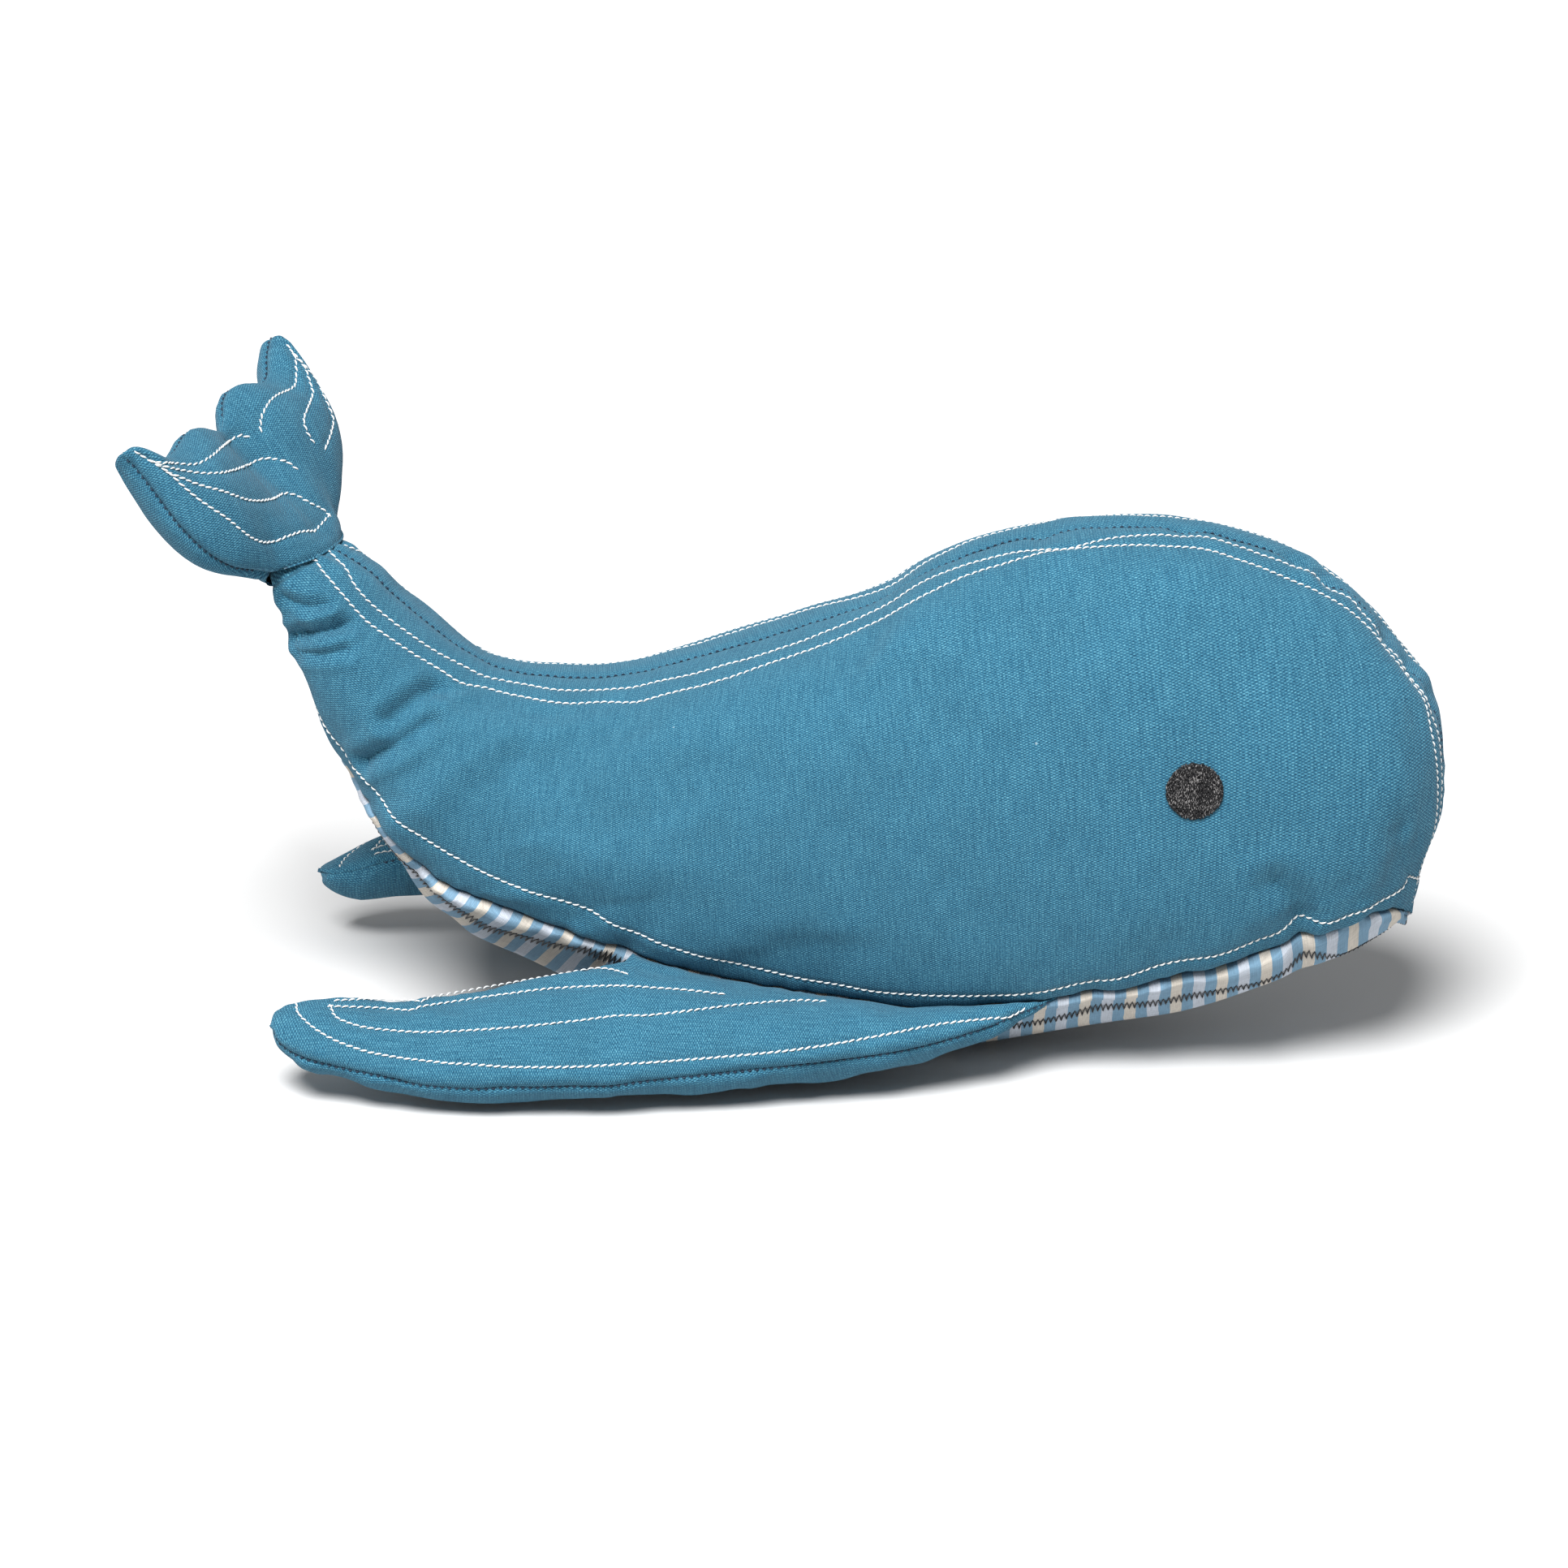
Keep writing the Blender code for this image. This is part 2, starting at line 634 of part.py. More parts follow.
def eye(name, side, panel, material):
    """A disc of embroidery that lies on the side panel."""
    bpy.context.view_layer.update()
    graph = bpy.context.evaluated_depsgraph_get()
    surface = BVHTree.FromObject(panel, graph)
    x = (EYE_LENGTH_SHARE - ORIGIN_SHARE) * BODY_LENGTH
    z = EYE_HEIGHT_SHARE * BODY_HEIGHT
    inwards = Vector((0, -side, 0))
    centre, normal, _, _ = surface.ray_cast(Vector((x, side * BODY_WIDTH, z)), inwards)
    across = normal.cross(Vector((0, 0, 1))).normalized()
    upwards = across.cross(normal).normalized()
    if upwards.z < 0:
        upwards.negate()
    mesh = bmesh.new()
    bmesh.ops.create_circle(mesh, cap_ends=True, segments=EYE_SEGMENTS, radius=EYE_DIAMETER / 2)
    bmesh.ops.poke(mesh, faces=mesh.faces)
    for vertex in mesh.verts:
        start = centre + across * vertex.co.x + upwards * vertex.co.y + normal * BODY_WIDTH / 2
        hit, _, _, _ = surface.ray_cast(start, -normal)
        vertex.co = hit + normal * CLEARANCE
    disc = add_object(name, mesh, material)
    face_outwards(disc, side)
    add_modifier(disc, "SOLIDIFY", thickness=EYE_THICKNESS, offset=1)
    return disc


for thing in list(bpy.data.objects):
    bpy.data.objects.remove(thing)

parts = bpy.data.collections.new("plush_whale")
helpers = bpy.data.collections.new("cutters")
bpy.context.scene.collection.children.link(parts)
bpy.context.scene.collection.children.link(helpers)

canvas = make_material("blue_canvas", (0.060, 0.235, 0.390), 0.85)
stripes = make_material("striped_cotton", (0.520, 0.600, 0.700), 0.85)
embroidery = make_material("black_thread", (0.012, 0.012, 0.013), 0.55)
fibre = make_material("fibre_filling", (0.850, 0.850, 0.820), 0.95)

right_panel = side_panel("right_side_panel", RIGHT, canvas)
left_panel = side_panel("left_side_panel", LEFT, canvas)
belly_panel(stripes)
body_fillings(fibre)
eye("right_eye", RIGHT, right_panel, embroidery)
eye("left_eye", LEFT, left_panel, embroidery)
fin("right_fin", RIGHT, canvas, fibre)
fin("left_fin", LEFT, canvas, fibre)
flukes(canvas, fibre)
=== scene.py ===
"""A plush whale of blue cotton canvas with a striped belly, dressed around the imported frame.

Lengths are in metres. The whale faces +X, its right side is at -Y, and it rests on z = 0.
"""

import math

import bmesh
import bpy
import numpy as np
from mathutils import Matrix, Vector, noise
from mathutils.bvhtree import BVHTree
from mathutils.kdtree import KDTree


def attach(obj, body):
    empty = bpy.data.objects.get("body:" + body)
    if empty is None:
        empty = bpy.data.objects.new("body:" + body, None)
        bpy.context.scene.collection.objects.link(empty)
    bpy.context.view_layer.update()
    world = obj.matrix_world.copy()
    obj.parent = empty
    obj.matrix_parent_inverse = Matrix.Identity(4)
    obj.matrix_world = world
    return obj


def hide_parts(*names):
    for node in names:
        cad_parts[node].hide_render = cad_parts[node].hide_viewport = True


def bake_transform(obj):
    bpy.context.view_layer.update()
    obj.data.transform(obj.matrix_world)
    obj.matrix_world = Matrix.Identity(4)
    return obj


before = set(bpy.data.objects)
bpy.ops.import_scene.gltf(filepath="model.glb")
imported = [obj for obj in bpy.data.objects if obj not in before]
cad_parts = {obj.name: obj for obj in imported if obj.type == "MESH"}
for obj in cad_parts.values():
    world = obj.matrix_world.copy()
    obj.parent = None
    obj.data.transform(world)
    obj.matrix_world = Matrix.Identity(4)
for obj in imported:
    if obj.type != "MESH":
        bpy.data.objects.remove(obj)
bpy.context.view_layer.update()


def show(name, data):
    """An object that shows this data in the scene."""
    thing = bpy.data.objects.new(name, data)
    bpy.context.scene.collection.objects.link(thing)
    return thing


# The camera, where the photographer's stood: far off with a long lens, a little above the whale
# and turned a few degrees towards its head. Stitch lines are placed by what it sees.
PHOTO_SIDE = 1932
PIXEL = 0.00028
VIEW_TURN = math.radians(4.5)
VIEW_DROP = math.radians(21)
VIEW_DISTANCE = 4.0
AIM = Vector((-0.00075, 0, 0.091))
SENSOR_WIDTH = 36

ahead = Vector((
    -math.sin(VIEW_TURN) * math.cos(VIEW_DROP),
    math.cos(VIEW_TURN) * math.cos(VIEW_DROP),
    -math.sin(VIEW_DROP),
))
rightwards = Vector((math.cos(VIEW_TURN), math.sin(VIEW_TURN), 0))
upwards = rightwards.cross(ahead)
camera_data = bpy.data.cameras.new("camera")
camera_data.sensor_width = SENSOR_WIDTH
camera_data.lens = SENSOR_WIDTH * VIEW_DISTANCE / (PIXEL * PHOTO_SIDE)
camera_data.clip_end = 50
camera = show("camera", camera_data)
stand = Matrix((rightwards, upwards, -ahead)).transposed().to_4x4()
stand.translation = AIM - ahead * VIEW_DISTANCE
camera.matrix_world = stand
bpy.context.scene.camera = camera


def with_ends(points):
    """A row of points, run on by one at each end."""
    return np.vstack([2 * points[0] - points[1], points, 2 * points[-1] - points[-2]])


def on_curve(before, start, end, after, t):
    """A place on the smooth curve from start to end, which lie between two more points."""
    bend = 2 * before - 5 * start + 4 * end - after
    twist = 3 * start - before - 3 * end + after
    return start + 0.5 * t * (end - before + t * (bend + t * twist))


def curve_through(points, step):
    """Points close together on a smooth curve through these ones."""
    points = np.array(points, float)
    ends = with_ends(points)
    fine = []
    for four in zip(ends, ends[1:], ends[2:], ends[3:]):
        count = max(int(np.linalg.norm(four[2] - four[1]) / step), 1)
        fine += [on_curve(*four, k / count) for k in range(count)]
    return np.array(fine + [points[-1]])


def seen_on(surface, pixels, step=4):
    """Where a line of the photograph's pixels falls on a surface."""
    hits = []
    for x, y in curve_through(pixels, step):
        across = (x - PHOTO_SIDE / 2) * PIXEL / VIEW_DISTANCE
        down = (y - PHOTO_SIDE / 2) * PIXEL / VIEW_DISTANCE
        line = ahead + rightwards * across - upwards * down
        hit, _, _, _ = surface.ray_cast(stand.translation, line.normalized())
        if hit is not None:
            hits.append(hit)
    return np.array(hits)


# The cover of the body. Two side panels of blue canvas meet along the back and down the brow, and
# a long pointed panel of striped cotton closes the belly. Fibre stuffed inside rounds it all out.
SIDES = ((-1, "right"), (1, "left"))
BODY_LENGTH = 0.388
BODY_HEIGHT = 0.190
BODY_WIDTH = 0.112
BELLY_WIDTH = 0.108
TAIL_TURN = math.radians(20)
ORIGIN_SHARE = 0.4237
WAIST_SHARE = 0.46
FLAT_DEPTH = 0.0005
CLOTH = 0.0007
ROWS = 321
ROW_CROWDING = 1.3
SIDE_COLUMNS = 131
BELLY_COLUMNS = 71
CLOTH_FRAMES = 20  # how long the filling is simulated

# From the flukes to the snout: back seam (x, z), belly line (x, z), width, belly cloth, turn of
# the tail, and how full the shoulder of the section is.
STATION_SHARES = (
    (0.023, 0.924, -0.024, 0.850, 0.39, 0.00, 1.00, 1.70),
    (0.060, 0.872, -0.019, 0.759, 0.46, 0.00, 0.80, 1.70),
    (0.088, 0.821, -0.002, 0.675, 0.54, 0.00, 0.60, 1.70),
    (0.160, 0.708, 0.034, 0.501, 0.66, 0.20, 0.30, 1.75),
    (0.232, 0.683, 0.052, 0.421, 0.73, 0.54, 0.12, 1.95),
    (0.282, 0.689, 0.085, 0.295, 0.79, 0.66, 0.00, 2.15),
    (0.332, 0.716, 0.128, 0.217, 0.85, 0.86, 0.00, 2.40),
    (0.387, 0.753, 0.186, 0.159, 0.89, 0.92, 0.00, 2.80),
    (0.447, 0.798, 0.259, 0.096, 0.93, 0.955, 0.00, 3.00),
    (0.508, 0.851, 0.341, 0.047, 0.96, 0.98, 0.00, 3.00),
    (0.557, 0.912, 0.424, 0.014, 0.98, 1.00, 0.00, 2.80),
    (0.625, 0.971, 0.535, 0.000, 1.00, 0.985, 0.00, 2.60),
    (0.704, 0.998, 0.651, 0.030, 1.00, 0.94, 0.00, 2.40),
    (0.811, 0.992, 0.782, 0.084, 0.96, 0.90, 0.00, 2.35),
    (0.890, 0.926, 0.875, 0.151, 0.88, 0.86, 0.00, 2.20),
    (0.963, 0.790, 0.934, 0.202, 0.71, 0.73, 0.00, 2.15),
    (0.995, 0.680, 0.961, 0.235, 0.55, 0.555, 0.00, 2.10),
    (1.004, 0.526, 0.973, 0.253, 0.37, 0.35, 0.00, 2.10),
    (0.996, 0.379, 0.979, 0.260, 0.18, 0.14, 0.00, 2.10),
    (0.982, 0.265, 0.982, 0.265, 0.00, 0.00, 0.00, 2.10),
)


def along_table(table, count, crowding=1.0):
    """A table's rows at steps, crowded towards the start, on smooth curves through them."""
    table = np.array(table, float)
    ends = with_ends(table)
    place = np.linspace(0, 1, count) ** crowding * (len(table) - 1)
    k = np.minimum(place.astype(int), len(table) - 2)
    return on_curve(*(ends[k + n] for n in range(4)), (place - k)[:, None])


def body_sections():
    """The stations in metres, one for each row of the cover."""
    rows = along_table(STATION_SHARES, ROWS, ROW_CROWDING)
    rows[:, (0, 2)] -= ORIGIN_SHARE
    rows[:, 4:6] = rows[:, 4:6].clip(min=0)
    rows[:, :4] *= (BODY_LENGTH, BODY_HEIGHT, BODY_LENGTH, BODY_HEIGHT)
    rows[:, 4:6] *= (BODY_WIDTH / 2, BELLY_WIDTH / 2)
    rows[:, (1, 3)] -= FLAT_DEPTH
    return rows


def half_round(row, side):
    """Points round one side of a section, from the back seam to the belly line."""
    angle = np.linspace(0, math.pi, 121)
    upper = angle <= math.pi / 2
    rise = np.where(upper, 1 - WAIST_SHARE, -WAIST_SHARE)
    up = WAIST_SHARE + rise * np.abs(np.cos(angle)) ** (2 / np.where(upper, 2.1, 2.15))
    out = np.sin(angle).clip(min=0) ** (2 / np.where(upper, row[7], 2.15)) * row[4] * side
    back_x, back_z, belly_x, belly_z = row[:4]
    turn = row[6] * TAIL_TURN
    centre = (back_x + belly_x) / 2
    along = belly_x + up * (back_x - belly_x) - centre
    x = centre + along * math.cos(turn) + out * math.sin(turn)
    y = out * math.cos(turn) - along * math.sin(turn)
    return np.stack([x, y, belly_z + up * (back_z - belly_z)], axis=1)


def travelled(points):
    """Distance along a line of points, from its start to each of them."""
    steps = np.linalg.norm(np.diff(points, axis=0), axis=1)
    return np.concatenate([[0], np.cumsum(steps)])


def stops_on(line, stops):
    """The points at these distances along a line."""
    run = travelled(line)
    return np.stack([np.interp(stops, run, line[:, k]) for k in range(3)], axis=1)


sections = body_sections()
girths = np.array([travelled(half_round(row, -1))[-1] for row in sections])
belly_reach = np.minimum(sections[:, 5], girths)
seam_place = girths - belly_reach
column_share = np.linspace(0, 1, SIDE_COLUMNS)
column_share = column_share - 0.5 * np.sin(2 * math.pi * column_share) / (2 * math.pi)
side_stops = seam_place[:, None] * column_share
belly_share = np.linspace(-1, 1, BELLY_COLUMNS)
belly_share = (belly_share + np.sin(math.pi / 2 * belly_share)) / 2
belly_rows = np.arange(np.flatnonzero(belly_reach > 0.0004)[0], ROWS)
sides = {}
for side, _ in SIDES:
    panel_rows = [stops_on(half_round(row, side), stops) for row, stops in zip(sections, side_stops)]
    sides[side] = np.array(panel_rows)
belly = []
for r in belly_rows:
    stops = girths[r] - belly_reach[r] * np.abs(belly_share)
    right, left = (stops_on(half_round(sections[r], side), stops) for side, _ in SIDES)
    belly.append(np.where((belly_share < 0)[:, None], right, left))
belly = np.array(belly)


def facing(grid, outwards):
    """Unit normals of a grid of points, turned to the side that outwards gives."""
    down = np.gradient(grid, axis=0)
    along = np.gradient(grid, axis=1)
    normal = np.cross(down, along)
    size = np.linalg.norm(normal, axis=2, keepdims=True)
    for r in range(1, len(grid)):
        thin = size[r, :, 0] < 1e-12
        normal[r, thin] = normal[r - 1, thin]
        size[r, thin] = size[r - 1, thin]
    normal /= np.maximum(size, 1e-15)
    turn = np.sign((normal * outwards).sum(axis=2, keepdims=True).sum())
    return normal * turn


middle = np.stack([
    (sections[:, 0] + sections[:, 2]) / 2, np.zeros(ROWS), (sections[:, 1] + sections[:, 3]) / 2
], axis=1)
side_normals = {s: facing(grid, grid - middle[:, None]) for s, grid in sides.items()}
belly_normals = facing(belly, belly - middle[belly_rows][:, None])


def join_normals(*edges):
    """The same normal for both edges of a seam, so that its two panels stay together."""
    total = sum(edges)
    return total / np.maximum(np.linalg.norm(total, axis=-1, keepdims=True), 1e-12)


crest = join_normals(side_normals[-1][:, 0], side_normals[1][:, 0])
for side, column in ((-1, 0), (1, -1)):
    edge = side_normals[side][:, -1].copy()
    edge[belly_rows] = join_normals(edge[belly_rows], belly_normals[:, column])
    side_normals[side][:, 0] = crest
    side_normals[side][:, -1] = edge
    belly_normals[:, column] = edge[belly_rows]
keel = join_normals(side_normals[-1][: belly_rows[0], -1], side_normals[1][: belly_rows[0], -1])
for side in (-1, 1):
    side_normals[side][: belly_rows[0], -1] = keel


def corners(shape):
    """The numbers of the four corners of every square of a grid."""
    index = np.arange(shape[0] * shape[1]).reshape(shape)
    quads = np.stack([index[:-1, :-1], index[1:, :-1], index[1:, 1:], index[:-1, 1:]], axis=-1)
    return quads.reshape(-1, 4)


def squares(grid, outwards):
    """The faces of a grid of points, turned to the side that outwards gives."""
    quads = corners(grid.shape[:2])
    at = grid.reshape(-1, 3)[quads]
    across = np.cross(at[:, 2] - at[:, 0], at[:, 3] - at[:, 1])
    if (across * outwards.reshape(-1, 3)[quads[:, 0]]).sum() < 0:
        quads = quads[:, ::-1]
    return quads


def smoothed(values, reach):
    """Values on a grid, evened out over so many rows and columns."""
    for axis, width in enumerate(reach):
        kernel = np.hanning(2 * width + 3)[1:-1]
        kernel /= kernel.sum()
        ends = [values.take([0] * width, axis), values, values.take([-1] * width, axis)]
        values = np.apply_along_axis(np.convolve, axis, np.concatenate(ends, axis), kernel, "valid")
    return values


def every(count, step):
    """The numbers below count at this step, and the last of them."""
    return np.unique(np.append(np.arange(0, count, step), count - 1))


def filled_in(coarse, rows, columns, shape):
    """Values all over a grid, from those on some of its rows and columns."""
    tall = [np.interp(np.arange(shape[0]), rows, coarse[:, c]) for c in range(len(columns))]
    return np.stack([np.interp(np.arange(shape[1]), columns, line) for line in np.stack(tall, axis=1)])


def stuffed(grids, normals, seams, held, step, even, draw, most):
    """How far out the filling pushes each point of a cover, where its seams are drawn up.

    The panels are simulated as cloth with air pressed into them, on coarse copies, while the
    seams shorten. Only the puckers are kept, so that the cover stays the size it was cut to.
    """
    picks, points, faces, weights, pins = [], [], [], [], []
    for grid, normal, seam, pin in zip(grids, normals, seams, held):
        rows, columns = every(grid.shape[0], step[0]), every(grid.shape[1], step[1])
        pick = np.ix_(rows, columns)
        faces.append(squares(grid[pick], normal[pick]) + sum(len(part) for part in points))
        points.append(grid[pick].reshape(-1, 3))
        weights.append(seam[pick].ravel())
        pins.append(pin[pick].ravel())
        picks.append((rows, columns, pick))
    points, weights, pins = np.vstack(points), np.concatenate(weights), np.concatenate(pins)
    _, keep, same = np.unique(np.round(points, 6), axis=0, return_index=True, return_inverse=True)
    same = same.reshape(-1)
    polygons = []
    for face in same[np.vstack(faces)]:
        distinct = [int(v) for k, v in enumerate(face) if v != face[k - 1]]
        if len(distinct) > 2:
            polygons.append(distinct)
    data = bpy.data.meshes.new("stuffing")
    data.from_pydata(points[keep].tolist(), [], polygons)
    thing = show("stuffing", data)
    for name, values in (("seams", weights), ("held", pins)):
        group = thing.vertex_groups.new(name=name)
        for k, value in enumerate(values[keep]):
            group.add([k], float(value), "REPLACE")
    cloth = thing.modifiers.new("filling", "CLOTH").settings
    cloth.quality = 6
    cloth.mass = 0.15
    cloth.tension_stiffness = 18
    cloth.compression_stiffness = 18
    cloth.shear_stiffness = 6
    cloth.bending_stiffness = 0.3
    cloth.air_damping = 2
    cloth.use_pressure = True
    cloth.uniform_pressure_force = 3
    cloth.effector_weights.gravity = 0
    cloth.vertex_group_shrink = "seams"
    cloth.shrink_min = -0.03
    cloth.shrink_max = draw
    cloth.vertex_group_mass = "held"
    for number in range(1, CLOTH_FRAMES + 1):
        bpy.context.scene.frame_set(number)
    graph = bpy.context.evaluated_depsgraph_get()
    filled = thing.evaluated_get(graph).to_mesh()
    places = np.zeros(len(filled.vertices) * 3)
    filled.vertices.foreach_get("co", places)
    moved = places.reshape(-1, 3)[same] - points
    thing.evaluated_get(graph).to_mesh_clear()
    bpy.data.objects.remove(thing)
    bpy.data.meshes.remove(data)
    bpy.context.scene.frame_set(1)
    rises = []
    for grid, normal, (rows, columns, pick) in zip(grids, normals, picks):
        count = len(rows) * len(columns)
        rise = (moved[:count].reshape(len(rows), len(columns), 3) * normal[pick]).sum(-1)
        moved = moved[count:]
        rise = (rise - smoothed(rise, even)).clip(-most, most)
        rises.append(smoothed(filled_in(rise, rows, columns, grid.shape), step))
    return rises


def falloff(away, width, power=2):
    """1 on a line, falling away from it over about this width."""
    return np.exp(-((away / width) ** power))


def fade(away, near, far):
    """1 up to the near distance, falling to 0 at the far one."""
    t = np.clip((away - near) / (far - near), 0, 1)
    return 1 - t * t * (3 - 2 * t)


def lumps(points, size, seed):
    """Slow uneven swelling, from -1 to 1, as loose fibre gives."""
    flat = points.reshape(-1, 3) / size + seed
    return np.array([noise.noise(Vector(p)) for p in flat]).reshape(points.shape[:-1])


def drift(run, seed):
    """Slow uneven change along a line, from -1 to 1."""
    return np.array([noise.noise(Vector((s, seed, 0))) for s in run])


def gathers(run, pitch, seed):
    """Uneven tucks along a seam, at about this pitch."""
    size = 0.55 + 0.9 * drift(run / pitch / 2.2, seed + 9)
    return np.sin(2 * math.pi * run / pitch + 5 * drift(run / pitch / 3, seed)) * size


# Where the seams pull the cloth in, from what the photograph shows of them: a place along the
# seam, how deep, how wide along the seam and how far it reaches into the panel.
back_run = travelled(sides[-1][:, 0])
seam_run = travelled(sides[-1][:, -1])


def seam_row(line, pixel):
    """The row whose point on a seam looks nearest to a pixel."""
    offset = line - np.array(stand.translation)
    depth = offset @ np.array(ahead)
    x = PHOTO_SIDE / 2 + offset @ np.array(rightwards) / depth * VIEW_DISTANCE / PIXEL
    y = PHOTO_SIDE / 2 - offset @ np.array(upwards) / depth * VIEW_DISTANCE / PIXEL
    return int(np.argmin((x - pixel[0]) ** 2 + (y - pixel[1]) ** 2))


BACK_DENTS = (
    ((455, 690), -0.0016, 0.0130, 0.020),
    ((1283, 650), 0.0020, 0.0045, 0.009),
    ((1459, 642), 0.0016, 0.0045, 0.009),
    ((1531, 645), 0.0008, 0.0040, 0.008),
    ((1603, 680), 0.0014, 0.0042, 0.008),
    ((1645, 706), 0.0026, 0.0042, 0.008),
    ((1717, 772), 0.0026, 0.0042, 0.008),
    ((1738, 815), 0.0016, 0.0040, 0.008),
    ((1767, 856), 0.0030, 0.0042, 0.009),
    ((1764, 1060), 0.0012, 0.0060, 0.010),
    ((1742, 1098), 0.0026, 0.0040, 0.014),
)
BELLY_DENTS = (
    ((1603, 1148), 0.0042, 0.0045, 0.020),
    ((1690, 1142), 0.0016, 0.0050, 0.012),
    ((1459, 1209), 0.0012, 0.0060, 0.012),
    ((1346, 1233), 0.0014, 0.0050, 0.014),
    ((765, 1179), 0.0024, 0.0070, 0.024),
    ((625, 1125), 0.0008, 0.0060, 0.012),
    ((522, 1070), 0.0010, 0.0060, 0.012),
    ((474, 1032), -0.0034, 0.0170, 0.030),
    ((341, 758), 0.0058, 0.0120, 0.030),
    ((365, 824), 0.0054, 0.0140, 0.030),
)


def dents(table, line, run, from_line):
    """How far a seam's dents press the cloth, over rows and the distance from the seam."""
    press = np.zeros(from_line.shape)
    for pixel, depth, width, reach in table:
        along = falloff(run - run[seam_row(line, pixel)], width)
        press += depth * along[:, None] * falloff(from_line, reach, 1.5)
    return press


# Folds of the tail, where bending it up crowds the cloth: lines of the photograph, depth, width.
TAIL_FOLDS = (
    (((345, 738), (362, 745), (385, 747), (402, 743)), 0.0026, 0.0020),
    (((352, 788), (385, 781), (413, 773), (439, 761), (462, 753)), 0.0056, 0.0023),
    (((362, 806), (396, 806), (425, 801)), 0.0026, 0.0022),
    (((478, 890), (498, 875), (523, 855), (548, 841), (562, 837)), 0.0054, 0.0030),
    (((440, 944), (476, 925), (508, 903), (531, 886)), 0.0050, 0.0028),
    (((640, 935), (655, 905), (672, 880)), 0.0014, 0.0090),
    (((700, 1142), (745, 1120), (800, 1112)), 0.0016, 0.0080),
    (((1603, 1134), (1592, 1108), (1572, 1088)), 0.0036, 0.0046),
    (((1746, 1085), (1735, 1060), (1732, 1020)), 0.0018, 0.0070),
    (((1425, 1215), (1430, 1190), (1440, 1160)), 0.0012, 0.0070),
    (((1330, 1225), (1322, 1200), (1318, 1170)), 0.0010, 0.0070),
)


def surface_of(grid, outwards):
    """A surface to find points on, from a grid."""
    return BVHTree.FromPolygons(grid.reshape(-1, 3).tolist(), squares(grid, outwards).tolist())


def find_among(points):
    """A tree that finds the nearest of these points."""
    tree = KDTree(len(points))
    for k, point in enumerate(points):
        tree.insert(point, k)
    tree.balance()
    return tree


def near_line(grid, line):
    """Distance from each point of a grid to the nearest point of a line."""
    tree = find_among(line)
    return np.array([tree.find(point)[2] for point in grid.reshape(-1, 3)]).reshape(grid.shape[:2])


def along_seam(grid, outwards, distance, lines):
    """Lines of the photograph on a panel, as one distance from a seam at every row."""
    surface = surface_of(grid, outwards)
    tree = find_among(grid.reshape(-1, 3))
    found = {}
    for hit in (hit for line in lines for hit in seen_on(surface, line)):
        r, c = divmod(tree.find(hit)[1], grid.shape[1])
        c = min(max(c, 1), grid.shape[1] - 2)
        across = grid[r, c + 1] - grid[r, c - 1]
        rate = (distance[r, c + 1] - distance[r, c - 1]) / max(across @ across, 1e-12)
        found.setdefault(r, []).append(distance[r, c] + rate * ((hit - grid[r, c]) @ across))
    rows = sorted(found)
    values = np.interp(np.arange(len(grid)), rows, [np.mean(found[r]) for r in rows])
    return smoothed(values[:, None], (3,))[:, 0]


# The topstitching: two lines beside the back seam, and one above the belly.
UPPER_LINE = (
    (405, 676), (423, 699), (442, 728), (472, 755), (514, 787), (553, 811), (579, 824), (598, 834),
    (640, 842), (681, 850), (709, 851), (766, 849), (801, 842), (847, 833), (892, 820), (938, 807),
    (1000, 784), (1086, 746), (1149, 712), (1218, 686), (1258, 677), (1321, 675), (1367, 664),
    (1459, 660), (1517, 668), (1574, 686), (1631, 715), (1666, 743), (1706, 787), (1729, 818),
    (1746, 841), (1758, 872),
)
LOWER_LINE = (
    (389, 686), (402, 708), (423, 734), (445, 757), (462, 772), (505, 802), (548, 827), (569, 843),
    (590, 845), (626, 855), (694, 867), (743, 865), (778, 865), (801, 861), (842, 851), (892, 838),
    (938, 821), (1000, 799), (1086, 761), (1161, 723), (1218, 698), (1287, 679), (1344, 675),
    (1459, 673), (1517, 683), (1574, 702), (1631, 731), (1677, 766), (1712, 804), (1740, 841),
    (1754, 875), (1762, 921),
)
BELLY_LINE = (
    (427, 944), (463, 980), (491, 1003), (545, 1049), (606, 1083), (667, 1106), (721, 1125),
    (759, 1145), (798, 1160), (836, 1171), (897, 1189), (1000, 1213), (1086, 1220), (1172, 1223),
    (1241, 1223), (1310, 1214), (1373, 1203), (1448, 1183), (1517, 1171), (1574, 1154),
    (1603, 1138), (1626, 1137), (1689, 1120), (1735, 1099), (1746, 1082),
)
LINE_DIP = 0.0005
LINE_DIP_WIDTH = 0.0011
FOLD_LIP = 0.25  # how high the cloth stands beside a fold, for its depth
FOLD_LIP_AWAY = 2.2  # how far off the lip is, for the fold's width
SEAM_ZONE = 0.006  # how far from a seam its thread draws the cloth in
GATHERED_ROWS = 12  # at the end of the tail, which the flukes hold
BROW_SHARE = 0.62  # where the brow starts, and over what length it comes in, by row
BROW_LENGTH = 0.12
LUMPS = ((0.0007, 0.045, 0), (0.0003, 0.016, 5))  # how high and how wide, with a seed
BACK_TUCKS = 0.014  # from one tuck to the next along each seam
BELLY_TUCKS = 0.011
TAIL_TUCKS = 0.0075
BACK_DIP = (0.0022, 1.3)  # how wide each seam's groove is, and how it closes
TAIL_DIP = (0.0030, 1.3)
BELLY_DIPS = ((0.0014, 0.0012, 1.5), (0.0009, 0.0045, 2))  # the same, after their depths
SIDE_POINT_ROWS = 14  # before each panel's point at the snout, where it lies flat
BELLY_POINT_ROWS = 18
HOLLOW_ROWS = 26
HOLLOW_DEPTH = 0.0030
BEYOND = 0.0050  # how much wider of the seam the left side's lines run in places
